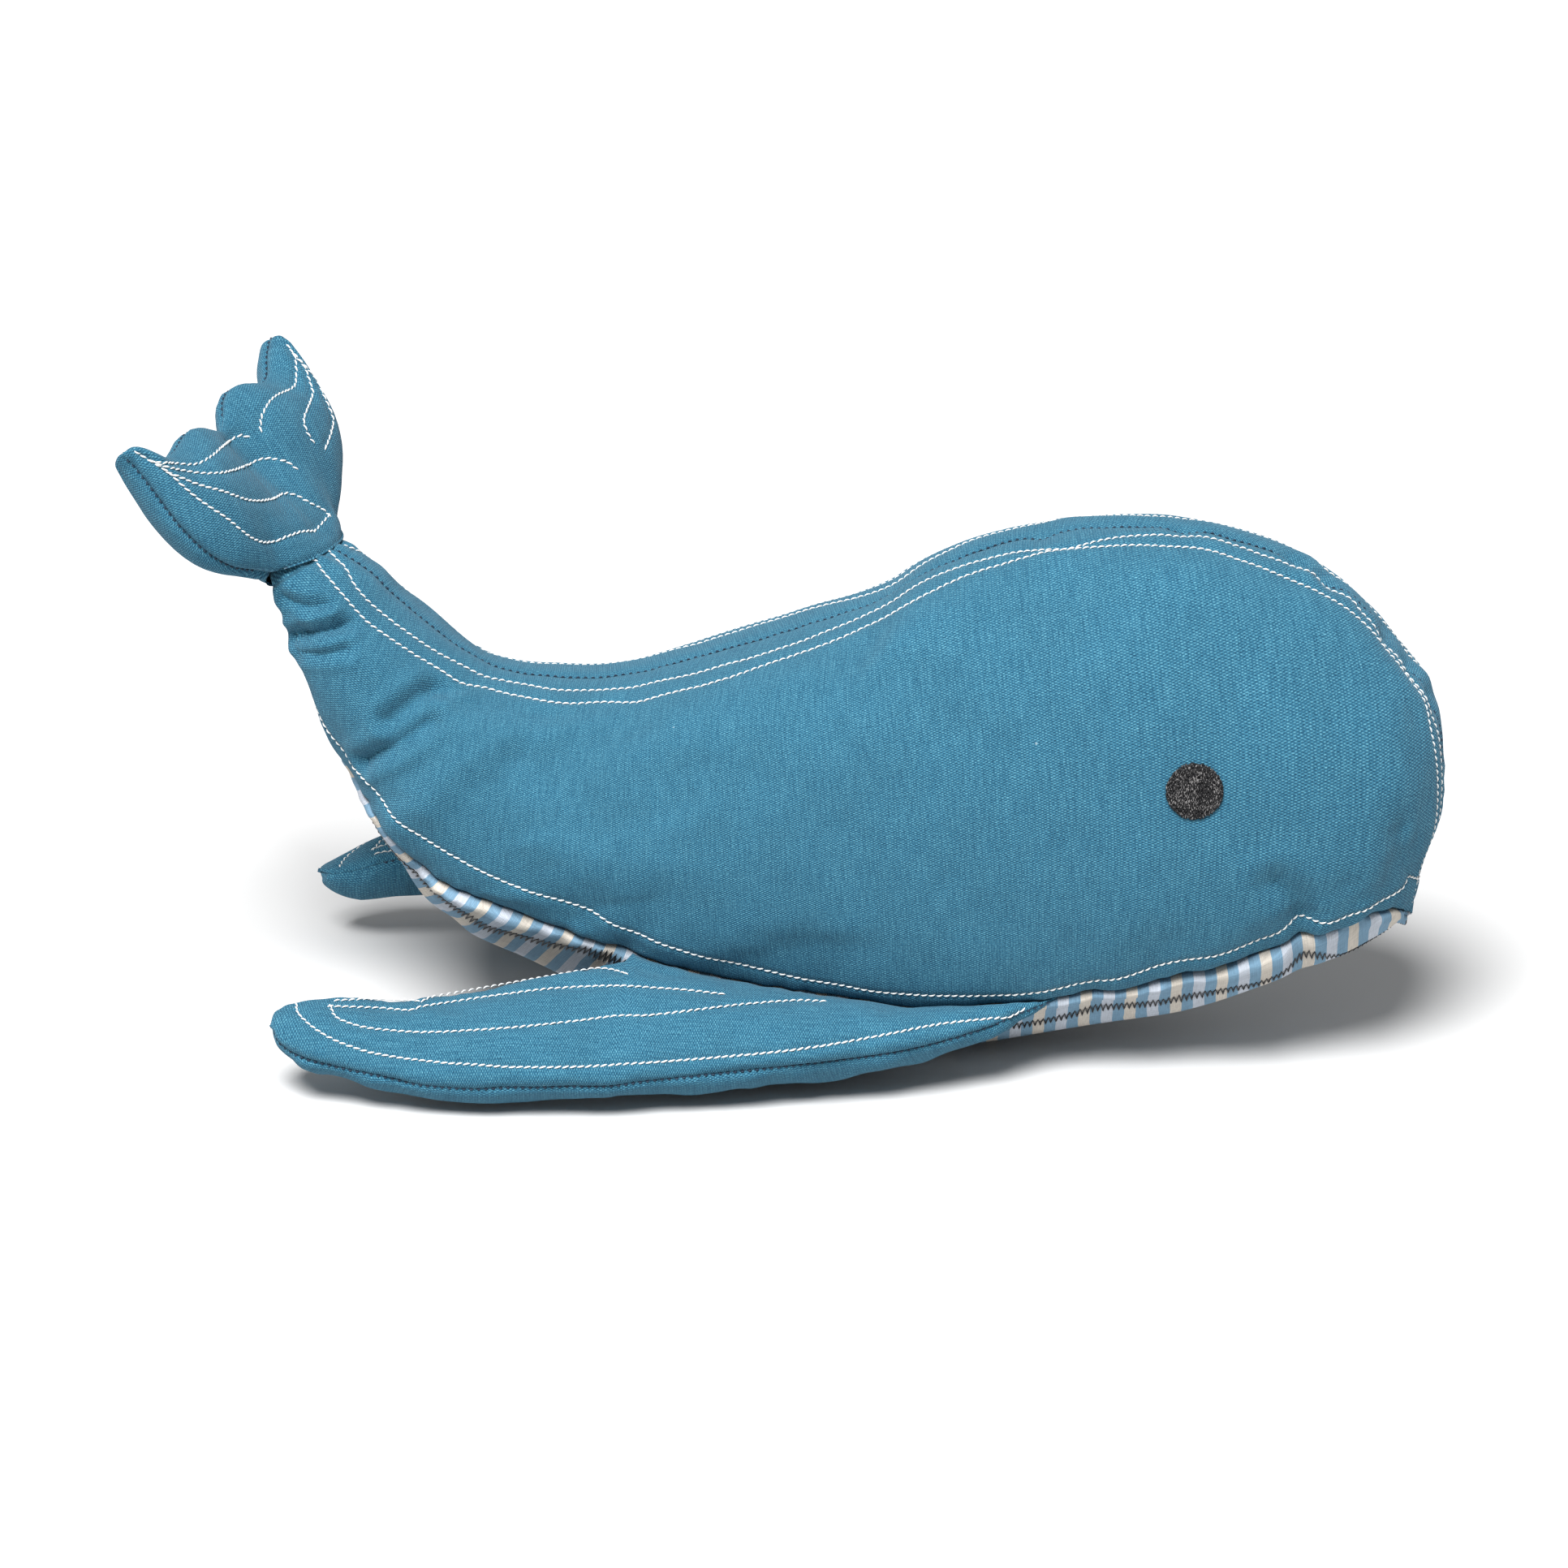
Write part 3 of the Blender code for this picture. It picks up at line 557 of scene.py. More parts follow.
CALM = 0.75  # how much of the puckers is missing near the back, behind the brow

from_back = side_stops
from_seam = seam_place[:, None] - side_stops
outer = sides[-1] - middle[:, None]
back_lines = [along_seam(sides[-1], outer, from_back, [pixels]) for pixels in (UPPER_LINE, LOWER_LINE)]
belly_line = along_seam(sides[-1], outer, from_seam, [BELLY_LINE])
press = dents(BACK_DENTS, sides[-1][:, 0], back_run, from_back)
press += dents(BELLY_DENTS, sides[-1][:, -1], seam_run, from_seam)
near_surface = surface_of(sides[-1], outer)
past_lines = fade(from_back - back_lines[1][:, None], 0.0010, 0.0080)
for pixels, depth, width in TAIL_FOLDS:
    away = near_line(sides[-1], seen_on(near_surface, pixels))
    fold = depth * falloff(away, width, 1.05)
    fold -= FOLD_LIP * depth * falloff(away - FOLD_LIP_AWAY * width, width)
    press += fold * (1 - past_lines)


def line_dip(away):
    """How far a line of stitches holds the cloth down."""
    return LINE_DIP * falloff(away, LINE_DIP_WIDTH)


from_edge = belly_reach[belly_rows][:, None] * (1 - np.abs(belly_share))
side_zone = np.maximum(fade(from_back, 0, SEAM_ZONE), fade(from_seam, 0, SEAM_ZONE))
tail_end = np.broadcast_to((np.arange(ROWS) < GATHERED_ROWS)[:, None], side_zone.shape).astype(float)
puckers = stuffed(
    [sides[-1], sides[1], belly],
    [side_normals[-1], side_normals[1], belly_normals],
    [side_zone, side_zone, fade(from_edge, 0, SEAM_ZONE)],
    [tail_end, tail_end, np.zeros(belly.shape[:2])],
    step=(4, 4), even=(8, 5), draw=0.10, most=0.0016,
)

brow = np.clip(((np.arange(ROWS) / ROWS) ** ROW_CROWDING - BROW_SHARE) / BROW_LENGTH, 0, 1)
# On the left the two lines run a little wider of the seam along the tail and down the brow.
marks = ((780, 812), (880, 785), (1410, 637), (1480, 640))
wide = [back_run[seam_row(sides[-1][:, 0], pixel)] for pixel in marks]
beyond = {-1: np.zeros(ROWS), 1: BEYOND * (fade(back_run, *wide[:2]) + 1 - fade(back_run, *wide[2:]))}
rises = {}
for side, seed, pucker in ((-1, 3.0, puckers[0]), (1, 8.0, puckers[1])):
    calm = 1 - CALM * fade(from_back, 0.022, 0.040) * (1 - brow)[:, None]
    rise = pucker * calm
    for height, size, more in LUMPS:
        rise += height * lumps(sides[side], size, seed + more)
    tucks = (0.0002 + 0.0004 * brow)[:, None] * gathers(back_run, BACK_TUCKS, seed)[:, None]
    rise += tucks * fade(from_back, 0.001, 0.014)
    tucks = 0.0004 * gathers(seam_run, BELLY_TUCKS, seed + 2)[:, None]
    rise += tucks * fade(from_seam, 0.001, 0.010)
    rise -= 0.0012 * falloff(from_back, *BACK_DIP)
    rise -= sum(depth * falloff(from_seam, width, power) for depth, width, power in BELLY_DIPS)
    for line in back_lines:
        rise -= line_dip(from_back - (line + beyond[side])[:, None])
    rise -= line_dip(from_seam - belly_line[:, None])
    rise -= press
    # Where the flukes are sewn on, the end of the tail is drawn in and gathered.
    rise -= 0.0014 * falloff(back_run, *TAIL_DIP)[:, None]
    tucks = np.array([gathers(stops, TAIL_TUCKS, 40.0 + side) for stops in side_stops])
    rise += 0.0007 * tucks * fade(back_run, 0.001, 0.013)[:, None]
    rise[-SIDE_POINT_ROWS:] *= np.linspace(1, 0, SIDE_POINT_ROWS)[:, None]
    rises[side] = rise
seam_rise = (rises[-1][:, 0] + rises[1][:, 0]) / 2
keel_rise = (rises[-1][:, -1] + rises[1][:, -1]) / 2
for side, rise in rises.items():
    rise[:, 0] = seam_rise
    rise[: belly_rows[0], -1] = keel_rise[: belly_rows[0]]
    sides[side] = sides[side] + side_normals[side] * rise[..., None]

# The belly cloth swells out beside its seam, and the zigzag sewn along it holds it in again. Its
# middle is pressed in at the first of these places, away from the seam.
KEEL_DENTS = (
    ((1350, 1234), 0.0024, 0.0300, 0.060),
    ((560, 1096), 0.0013, 0.0300, 0.060),
    ((1560, 1186), -0.0008, 0.0180, 0.060),
)
ZIGZAG_LINE = (
    ((480, 1055), (514, 1087), (530, 1102), (568, 1123), (606, 1145), (644, 1160), (683, 1171), (713, 1172),
     (732, 1179), (748, 1185)),
    ((1260, 1262), (1310, 1255), (1360, 1244), (1413, 1238), (1459, 1229), (1517, 1213), (1560, 1203),
     (1586, 1190)),
    ((1620, 1175), (1660, 1178), (1700, 1160)),
)
belly_outer = belly - middle[belly_rows][:, None]
zigzag_place = along_seam(belly, belly_outer, from_edge, ZIGZAG_LINE)
belly_run = travelled(belly[:, BELLY_COLUMNS // 2])
belly_seam, belly_seam_run = sides[-1][belly_rows][:, -1], seam_run[belly_rows]
rise = puckers[2] + 0.0006 * lumps(belly, 0.03, 21.0)
rise += 0.0006 * gathers(belly_seam_run, 0.0085, 4.0)[:, None] * fade(from_edge, 0.0005, 0.009)
rise += 0.0008 * falloff(from_edge - 0.0032, 0.0030) * np.minimum(from_edge / 0.0012, 1)
rise -= 0.0006 * falloff(from_edge - zigzag_place[:, None], 0.0016)
rise -= dents(BELLY_DENTS, belly_seam, belly_seam_run, from_edge)
rise -= dents(KEEL_DENTS, belly_seam, belly_seam_run, from_edge) * (1 - fade(from_edge, 0.001, 0.007))
# Its pointed end at the snout is flat, and a little hollow before that.
rise[-BELLY_POINT_ROWS:] *= np.linspace(1, 0, BELLY_POINT_ROWS)[:, None]
hollow = HOLLOW_DEPTH * np.sin(math.pi * np.arange(HOLLOW_ROWS) / (HOLLOW_ROWS - 1))[:, None]
rise[-HOLLOW_ROWS:] -= hollow * (1 - fade(from_edge[-HOLLOW_ROWS:], 0, 0.002))
belly = belly + belly_normals * rise[..., None]
for side, column in ((-1, 0), (1, -1)):
    belly[:, column] = sides[side][belly_rows][:, -1]
belly[..., 2] = belly[..., 2].clip(min=0)


def flat_pattern(grid, upright, step=(6, 4)):
    """The panel laid flat, as it was cut from the cloth: a place on the cloth for every point, in
    metres, with the cloth's warp running along upright."""
    rows, columns = every(grid.shape[0] - 1, step[0]), every(grid.shape[1], step[1])
    coarse = grid[np.ix_(rows, columns)]
    shape = coarse.shape[:2]
    data = bpy.data.meshes.new("pattern")
    data.from_pydata(coarse.reshape(-1, 3).tolist(), [], corners(shape).tolist())
    data.uv_layers.new(name="cloth")
    table = show("pattern", data)
    bpy.context.view_layer.objects.active = table
    table.select_set(True)
    bpy.ops.object.mode_set(mode="EDIT")
    bpy.ops.mesh.select_all(action="SELECT")
    bpy.ops.uv.unwrap(method="ANGLE_BASED", margin=0)
    bpy.ops.object.mode_set(mode="OBJECT")
    flat = np.zeros((len(data.vertices), 2))
    corner = np.zeros(len(data.loops), int)
    data.loops.foreach_get("vertex_index", corner)
    uv = np.zeros(len(data.loops) * 2)
    data.uv_layers["cloth"].uv.foreach_get("vector", uv)
    flat[corner] = uv.reshape(-1, 2)
    bpy.data.objects.remove(table)
    bpy.data.meshes.remove(data)
    # Scale it to the cloth's real size, and turn it until the warp runs along upright.
    real = np.linalg.norm(np.diff(coarse, axis=0), axis=-1).sum()
    drawn = np.linalg.norm(np.diff(flat.reshape(*shape, 2), axis=0), axis=-1).sum()
    flat = (flat - flat.mean(0)) * real / drawn
    solid = coarse.reshape(-1, 3)
    solid = solid - solid.mean(0)
    sideways = np.cross(upright, (0, 1, 0) if abs(upright[1]) < 0.9 else (0, 0, 1))
    target = solid @ sideways + 1j * (solid @ np.array(upright))
    both = flat[:, 0] + 1j * flat[:, 1]
    straight = (np.conj(both) * target).sum()
    mirrored = (both * target).sum()
    if abs(mirrored) > abs(straight):
        both, straight = np.conj(both), mirrored
    both = both * straight / abs(straight)
    parts = [part.reshape(shape) for part in (both.real, both.imag)]
    return np.stack([filled_in(part, rows, columns, grid.shape[:2]) for part in parts], axis=-1)


def panel(name, grid, flat, outwards, material):
    """A panel of cloth as one closed skin: its face is the grid, its lining lies inside."""
    quads = squares(grid, outwards)
    data = bpy.data.meshes.new(name)
    data.from_pydata(grid.reshape(-1, 3).tolist(), [], quads.tolist())
    layer = data.uv_layers.new(name="cloth")
    layer.uv.foreach_set("vector", flat.reshape(-1, 2)[quads.reshape(-1)].ravel())
    mesh = bmesh.new()
    mesh.from_mesh(data)
    bmesh.ops.remove_doubles(mesh, verts=mesh.verts, dist=1e-6)
    mesh.to_mesh(data)
    mesh.free()
    data.shade_smooth()
    data.materials.append(material)
    thing = show(name, data)
    wall = thing.modifiers.new("lining", "SOLIDIFY")
    wall.thickness = CLOTH
    wall.offset = -1
    return thing


class Shades:
    """A material's nodes, added one after another."""

    def __init__(self, name, roughness):
        self.material = bpy.data.materials.new(name)
        self.material.use_nodes = True
        self.tree = self.material.node_tree
        self.shader = self.tree.nodes["Principled BSDF"]
        self.surface({"Roughness": roughness})

    def plug(self, sockets, values):
        for key, value in values.items():
            if hasattr(value, "is_output"):
                self.tree.links.new(value, sockets[key])
            else:
                sockets[key].default_value = value

    def add(self, kind, inputs, **settings):
        node = self.tree.nodes.new(kind)
        for name, value in settings.items():
            setattr(node, name, value)
        self.plug(node.inputs, inputs)
        return node.outputs

    def surface(self, values):
        self.plug(self.shader.inputs, values)

    def on_cloth(self):
        """A place on the flat cloth, and its two numbers: across the cloth and up its warp."""
        place = self.add("ShaderNodeUVMap", {}, uv_map="cloth")["UV"]
        split = self.add("ShaderNodeSeparateXYZ", {0: place})
        return place, split[0], split[1]

    def math(self, operation, first, second=0.0, clamp=False):
        return self.add("ShaderNodeMath", {0: first, 1: second}, operation=operation, use_clamp=clamp)[0]

    def total(self, *parts):
        """The sum of some values, each given with its weight."""
        sum_so_far = None
        for value, weight in parts:
            term = value if weight == 1 else self.math("MULTIPLY", value, weight)
            sum_so_far = term if sum_so_far is None else self.math("ADD", sum_so_far, term)
        return sum_so_far

    def stretch(self, place, amounts):
        return self.add("ShaderNodeVectorMath", {0: place, 1: amounts}, operation="MULTIPLY")[0]

    def noise(self, place, scale, detail=2.0, roughness=0.5):
        inputs = {"Vector": place, "Scale": scale, "Detail": detail, "Roughness": roughness}
        return self.add("ShaderNodeTexNoise", inputs)["Fac"]

    def between(self, value, low, high, to_low=0.0, to_high=1.0):
        inputs = {"Value": value, "From Min": low, "From Max": high, "To Min": to_low, "To Max": to_high}
        return self.add("ShaderNodeMapRange", inputs)["Result"]

    def blend(self, share, first, second, kind="MIX"):
        first, second = (c if hasattr(c, "is_output") else (*c, 1) for c in (first, second))
        inputs = {0: share, 6: first, 7: second}
        return self.add("ShaderNodeMix", inputs, data_type="RGBA", blend_type=kind)[2]

    def times(self, color, shade):
        """A colour made darker or lighter by a plain value."""
        grey = self.add("ShaderNodeCombineColor", {0: shade, 1: shade, 2: shade})[0]
        return self.blend(1.0, color, grey, "MULTIPLY")

    def raise_by(self, height, distance, strength):
        inputs = {"Height": height, "Distance": distance, "Strength": strength}
        self.surface({"Normal": self.add("ShaderNodeBump", inputs)["Normal"]})


WARP_PITCH = 0.00090
WEFT_PITCH = 0.00085
DARK_BLUE = (0.003, 0.034, 0.072)
PLAIN_BLUE = (0.024, 0.118, 0.190)
LIGHT_BLUE = (0.118, 0.322, 0.405)
SPECK_COLOR = (0.36, 0.46, 0.50)
SHEEN_COLOR = (0.55, 0.75, 0.9, 1)


def canvas(name):
    """Plain-woven cotton canvas: upright floats of the warp in a brick lattice, dark between."""
    shades = Shades(name, 0.88)
    uv, across, along = shades.on_cloth()
    drift = shades.noise(uv, 150)
    wave = shades.math("SINE", shades.total((across, math.pi / WARP_PITCH), (drift, 2.4)))
    weft = shades.math("SINE", shades.total((along, 2 * math.pi / WEFT_PITCH), (drift, 3.2)))
    lattice = shades.math("MULTIPLY", wave, weft)
    ridges = shades.math("MULTIPLY", wave, wave)
    warp_slubs = shades.noise(shades.stretch(uv, (1150, 90, 1)), 1, 1)
    weft_slubs = shades.noise(shades.stretch(uv, (90, 1200, 1)), 1, 1)
    slubs = shades.total((warp_slubs, 1), (weft_slubs, 0.4))
    fuzz = shades.noise(uv, 1500, 2, 0.6)
    tone = shades.total((lattice, 0.30), (ridges, 0.08), (slubs, 0.36), (fuzz, 1.10))
    tone = shades.math("ADD", tone, -0.39, clamp=True)
    low = shades.blend(shades.between(tone, 0, 0.5), DARK_BLUE, PLAIN_BLUE)
    color = shades.blend(shades.between(tone, 0.5, 1), low, LIGHT_BLUE)
    color = shades.times(color, shades.between(shades.noise(uv, 38, 3), 0.3, 0.7, 0.94, 1.05))
    # A few pale specks of undyed fibre.
    cells = shades.add("ShaderNodeTexVoronoi", {"Vector": uv, "Scale": 62, "Randomness": 1})
    chance = shades.add("ShaderNodeSeparateColor", {0: cells["Color"]})[0]
    speck = shades.between(cells["Distance"], 0.030, 0.018)
    speck = shades.math("MULTIPLY", speck, shades.math("GREATER_THAN", chance, 0.72))
    color = shades.blend(shades.math("MULTIPLY", speck, 0.55), color, SPECK_COLOR)
    shades.surface({
        "Base Color": color, "Sheen Weight": 0.12, "Sheen Roughness": 0.5, "Sheen Tint": SHEEN_COLOR,
        "Specular IOR Level": 0.18,
    })
    shades.raise_by(shades.total((lattice, 1), (slubs, 0.5)), 0.00016, 0.8)
    return shades.material


# Each side panel ends in an allowance that is tucked into the root of the flukes.
TUCK = 0.007
TUCK_RINGS = ((0.80, 1), (0.93, 0.45))  # how wide each row of it is, and how deep it lies

root_line = half_round(sections[0], -1)
root_top, root_bottom = root_line[0], root_line[-1]
fluke_bend = (root_top + root_bottom) / 2
fluke_out = np.array((math.sin(TAIL_TURN), math.cos(TAIL_TURN), 0))
fluke_up = (root_top - root_bottom) / np.linalg.norm(root_top - root_bottom)
fluke_along = np.cross(fluke_up, fluke_out)

blue = canvas("blue_canvas")
side_pieces = {}
side_outer = {}
for side, name in SIDES:
    end = sides[side][0] - fluke_bend
    tuck = [fluke_bend + end * share + fluke_along * TUCK * depth for share, depth in TUCK_RINGS]
    grid = np.concatenate([tuck, sides[side]])
    side_outer[side] = sides[side] - middle[:, None]
    outer = np.concatenate([side_outer[side][:2], side_outer[side]])
    side_pieces[side] = panel(f"{name}_side_cover", grid, flat_pattern(grid, (0, 0, 1)), outer, blue)


# The belly panel. Lighter cotton, yarn-dyed in even bands that run across it: cream, blue, pale
# lavender, blue. It is sewn in right sides together, so its edge rolls under the canvas.
BAND = 0.00405
BAND_BLUE = (0.150, 0.262, 0.362, 1)
BAND_COLORS = ((0.50, 0.46, 0.405, 1), BAND_BLUE, (0.42, 0.455, 0.51, 1), BAND_BLUE)
COTTON_PITCH = 0.00055


def striped(name):
    """Plain-woven cotton in bands."""
    shades = Shades(name, 0.85)
    uv, across, along = shades.on_cloth()
    drift = shades.math("MULTIPLY", shades.noise(uv, 90), 0.05)
    run = shades.math("ADD", shades.math("DIVIDE", along, len(BAND_COLORS) * BAND), drift)
    bands = shades.add("ShaderNodeValToRGB", {0: shades.math("FRACT", run)})[0]
    ramp = bands.node.color_ramp
    ramp.interpolation = "CONSTANT"
    ramp.elements.remove(ramp.elements[1])
    ramp.elements[0].color = BAND_COLORS[0]
    for k, color in enumerate(BAND_COLORS[1:], 1):
        ramp.elements.new(k / len(BAND_COLORS)).color = color
    turns = [shades.math("MULTIPLY", place, 2 * math.pi / COTTON_PITCH) for place in (across, along)]
    weave = shades.math("MULTIPLY", *(shades.math("SINE", turn) for turn in turns))
    up_yarn = shades.noise(shades.stretch(uv, (150, 3600, 1)), 1, 1)
    cross_yarn = shades.noise(shades.stretch(uv, (3600, 150, 1)), 1, 1)
    tone = shades.math("ADD", up_yarn, cross_yarn)
    color = shades.times(bands, shades.between(tone, 0.7, 1.3, 0.80, 1.14))
    shades.surface({"Base Color": color, "Specular IOR Level": 0.2})
    shades.raise_by(shades.total((weave, 0.5), (tone, 1)), 0.00012, 0.8)
    return shades.material


stripes = striped("striped_cotton")
belly_flat = np.stack([
    belly_reach[belly_rows][:, None] * belly_share * np.ones(belly.shape[:2]),
    np.repeat(belly_run[:, None], BELLY_COLUMNS, axis=1),
], axis=-1)
belly_piece = panel("belly_cover", belly, belly_flat, belly - middle[belly_rows][:, None], stripes)


# The flukes. Two panels of the same canvas sewn edge to edge round a rounded, notched outline,
# turned, stuffed full and sewn on round the end of the tail.
FLUKE_SPAN = 0.125
FLUKE_CHORD = 0.068
FLUKE_THICKNESS = 0.027
FLUKE_TOP_SHARE = 0.48
FLUKE_ROWS = 81
FLUKE_COLUMNS = 45
NEAR_LOBE = (
    (0.00, 0.00, 0.00, 0.80, 0.76, 1.0),
    (0.16, 0.00, 0.07, 0.81, 0.80, 1.0),
    (0.34, 0.04, 0.17, 0.85, 0.88, 0.8),
    (0.52, 0.12, 0.30, 0.88, 0.95, 0.2),
    (0.68, 0.20, 0.45, 0.87, 1.00, 0.0),
    (0.81, 0.31, 0.59, 0.85, 0.97, 0.0),
    (0.88, 0.47, 0.71, 0.86, 0.86, 0.0),
    (0.91, 0.65, 0.80, 0.90, 0.70, 0.0),
    (0.93, 0.82, 0.87, 0.955, 0.52, 0.0),
    (0.95, 0.92, 0.92, 0.98, 0.36, 0.0),
    (0.96, 0.97, 0.96, 0.97, 0.00, 0.0),
)
FAR_LOBE = (
    (0.00, 0.00, 0.00, 0.80, 0.76, 1.0),
    (0.15, 0.00, 0.07, 0.85, 0.80, 1.0),
    (0.305, 0.035, 0.17, 0.91, 0.86, 0.8),
    (0.46, 0.125, 0.30, 0.945, 0.92, 0.2),
    (0.62, 0.235, 0.45, 0.93, 0.95, 0.0),
    (0.765, 0.345, 0.59, 0.90, 0.93, 0.0),
    (0.865, 0.485, 0.71, 0.925, 0.84, 0.0),
    (0.90, 0.67, 0.81, 0.985, 0.70, 0.0),
    (0.935, 0.85, 0.89, 1.03, 0.52, 0.0),
    (0.960, 0.97, 0.945, 1.05, 0.36, 0.0),
    (0.980, 1.03, 0.980, 1.03, 0.00, 0.0),
)
LIMB_FULLNESS = 0.48
VALLEY_DEPTH = 0.60
VALLEY_WIDTH = 0.011
LOWER_LEAD = 0.8  # the lower panel's front edge is blunter than the upper one's by this share
QUILT_WIDTH = 0.0015
LIMB_LUMPS = (0.0005, 0.026)
LIMB_TUCKS = (0.0003, 0.0062)
LIMB_DIP = (0.0014, 1.4)
TIP_ROWS = 6  # over these rows at each tip, the filling pushes less and less


def root_height(reach, upper):
    """Half the height of the tail's end, at a distance out from its middle."""
    offset = root_line - fluke_bend
    out, up = -offset @ fluke_out, offset @ fluke_up
    if upper:
        return np.interp(reach, out[up >= 0], up[up >= 0], right=0)
    return np.interp(reach, out[up < 0][::-1], -up[up < 0][::-1], right=0)


def spread(count):
    """Numbers from 0 to 1, crowded towards both."""
    return (1 - np.cos(np.linspace(0, math.pi, count))) / 2


def fluke_grid(upper):
    """One panel of the flukes, from tip to tip, and from the tail to the trailing edge."""
    near, far = (along_table(lobe, FLUKE_ROWS // 2 + 1).clip(min=0) for lobe in (NEAR_LOBE, FAR_LOBE))
    part = 2 * FLUKE_TOP_SHARE if upper else 2 - 2 * FLUKE_TOP_SHARE
    sign = 1 if upper else -1
    share = spread(FLUKE_COLUMNS)
    lead = np.where(share < 0.5, LIMB_FULLNESS * (1 if upper else LOWER_LEAD), LIMB_FULLNESS)
    edge = np.sin(math.pi * share).clip(min=0) ** lead
    bluff = (1 - share**2.4).clip(min=0) ** LIMB_FULLNESS
    behind = np.clip((share - 0.25) / 0.5, 0, 1)
    behind = behind**2 * (3 - 2 * behind)
    rows = []
    for side, station in [(-1, s) for s in near[:0:-1]] + [(1, s) for s in far]:
        lead_out, lead_along, trail_out, trail_along, thick, opened = station
        opened = min(opened, 1)
        reach = (lead_out + (trail_out - lead_out) * share) * FLUKE_SPAN / 2
        chord = (lead_along + (trail_along - lead_along) * share) * FLUKE_CHORD
        height = thick * FLUKE_THICKNESS / 2 * part * (edge + (bluff - edge) * opened)
        if upper:
            height *= 1 - VALLEY_DEPTH * falloff(reach, VALLEY_WIDTH) * behind
        root = np.array([root_height(r, upper) for r in reach])
        height = height + (root - height) * opened * (1 - np.minimum(share / 0.4, 1)) ** 2
        if opened > 0 and root[0] == 0:
            height[0] = 0
        out = fluke_out * (side * reach)[:, None]
        rows.append(fluke_bend + out + fluke_along * chord[:, None] + fluke_up * (sign * height)[:, None])
    return np.array(rows)


def edge_distance(grid):
    """Distance over the cloth from each point to the panel's two long edges, and along them."""
    step = np.linalg.norm(np.diff(grid, axis=1), axis=2)
    start = np.concatenate([np.zeros((len(grid), 1)), np.cumsum(step, axis=1)], axis=1)
    end = start[:, -1:] - start
    return start, end, travelled(grid[:, 0]), travelled(grid[:, -1])


FLUKE_VEINS = (
    ((169, 557), (187, 568), (217, 571), (240, 572), (258, 564), (274, 550), (293, 537), (304, 538)),
    ((187, 568), (201, 574), (222, 579), (249, 583), (274, 582), (300, 575), (320, 566), (334, 565),
     (353, 569), (364, 577)),
    ((208, 582), (242, 596), (274, 605), (307, 616), (334, 615), (350, 608), (366, 611), (382, 620),
     (398, 628), (405, 635)),
    ((405, 635), (396, 645), (388, 654)),
    ((388, 654), (371, 655), (353, 661), (341, 666), (325, 668), (311, 663), (297, 653), (279, 638),
     (249, 618), (226, 599), (208, 582), (187, 568)),
    ((355, 427), (363, 440), (365, 456), (364, 474), (359, 479), (343, 486), (332, 495), (324, 509),
     (321, 518), (321, 529)),
    ((363, 438), (375, 453), (382, 472), (385, 486), (378, 504), (374, 518), (379, 534), (385, 544)),
    ((364, 438), (387, 465), (398, 486), (408, 509), (410, 522), (405, 541), (401, 551)),
)


def limb_normals(panels, up):
    """The normals of a limb's upper and lower panel, which share those of the seam round it."""
    normals = [facing(grid, np.broadcast_to(up * sign, grid.shape)) for grid, sign in zip(panels, (1, -1))]
    for column in (0, -1):
        shared = join_normals(normals[0][:, column], normals[1][:, column])
        for normal in normals:
            normal[:, column] = shared
    return normals


def quilt(grid, normals, lines, depth):
    """A grid pressed in along its stitch lines."""
    surface = surface_of(grid, normals)
    total = np.zeros(grid.shape[:2])
    for line in (seen_on(surface, pixels) for pixels in lines):
        if len(line):
            total = np.maximum(total, depth * falloff(near_line(grid, line), QUILT_WIDTH))
    return grid - normals * total[..., None]


def stuffed_limb(panels, normals, rooted, seed):
    """Both panels of a limb, drawn in along their seams and filled, held at some rows' root."""
    edges = [edge_distance(grid) for grid in panels]
    seams = [np.maximum(fade(start, 0, 0.004), fade(end, 0, 0.004)) for start, end, _, _ in edges]
    held = [fade(start, 0.001, 0.005) * rooted[:, None] for start, _, _, _ in edges]
    puckers = stuffed(panels, normals, seams, held, step=(2, 3), even=(7, 4), draw=0.12, most=0.0008)
    shaped = []
    for k, (grid, rise, (start, end, start_run, end_run)) in enumerate(zip(panels, puckers, edges)):
        rise = rise + LIMB_LUMPS[0] * lumps(grid, LIMB_LUMPS[1], seed + 4 * k)
        for away, run, turn in ((start, start_run, 0), (end, end_run, 1)):
            tuck = gathers(run, LIMB_TUCKS[1], seed + 3 * turn)[:, None] * fade(away, 0.0005, 0.007)
            rise += LIMB_TUCKS[0] * tuck * (1 - falloff(away, 0.001, 1))
            rise -= 0.0011 * falloff(away, *LIMB_DIP)
        row = np.arange(len(grid))
        rise *= np.clip(np.minimum(row, row[::-1])[:, None] / TIP_ROWS, 0, 1)
        shaped.append(grid + normals[k] * rise[..., None])
    return shaped


def sewn_shut(panels, reach=math.inf):
    """Two panels brought together along their edges, where these are nearer than reach."""
    for column in (0, -1):
        closed = np.linalg.norm(panels[0][:, column] - panels[1][:, column], axis=1) < reach
        shared = (panels[0][:, column] + panels[1][:, column]) / 2
        for grid in panels:
            grid[closed, column] = shared[closed]


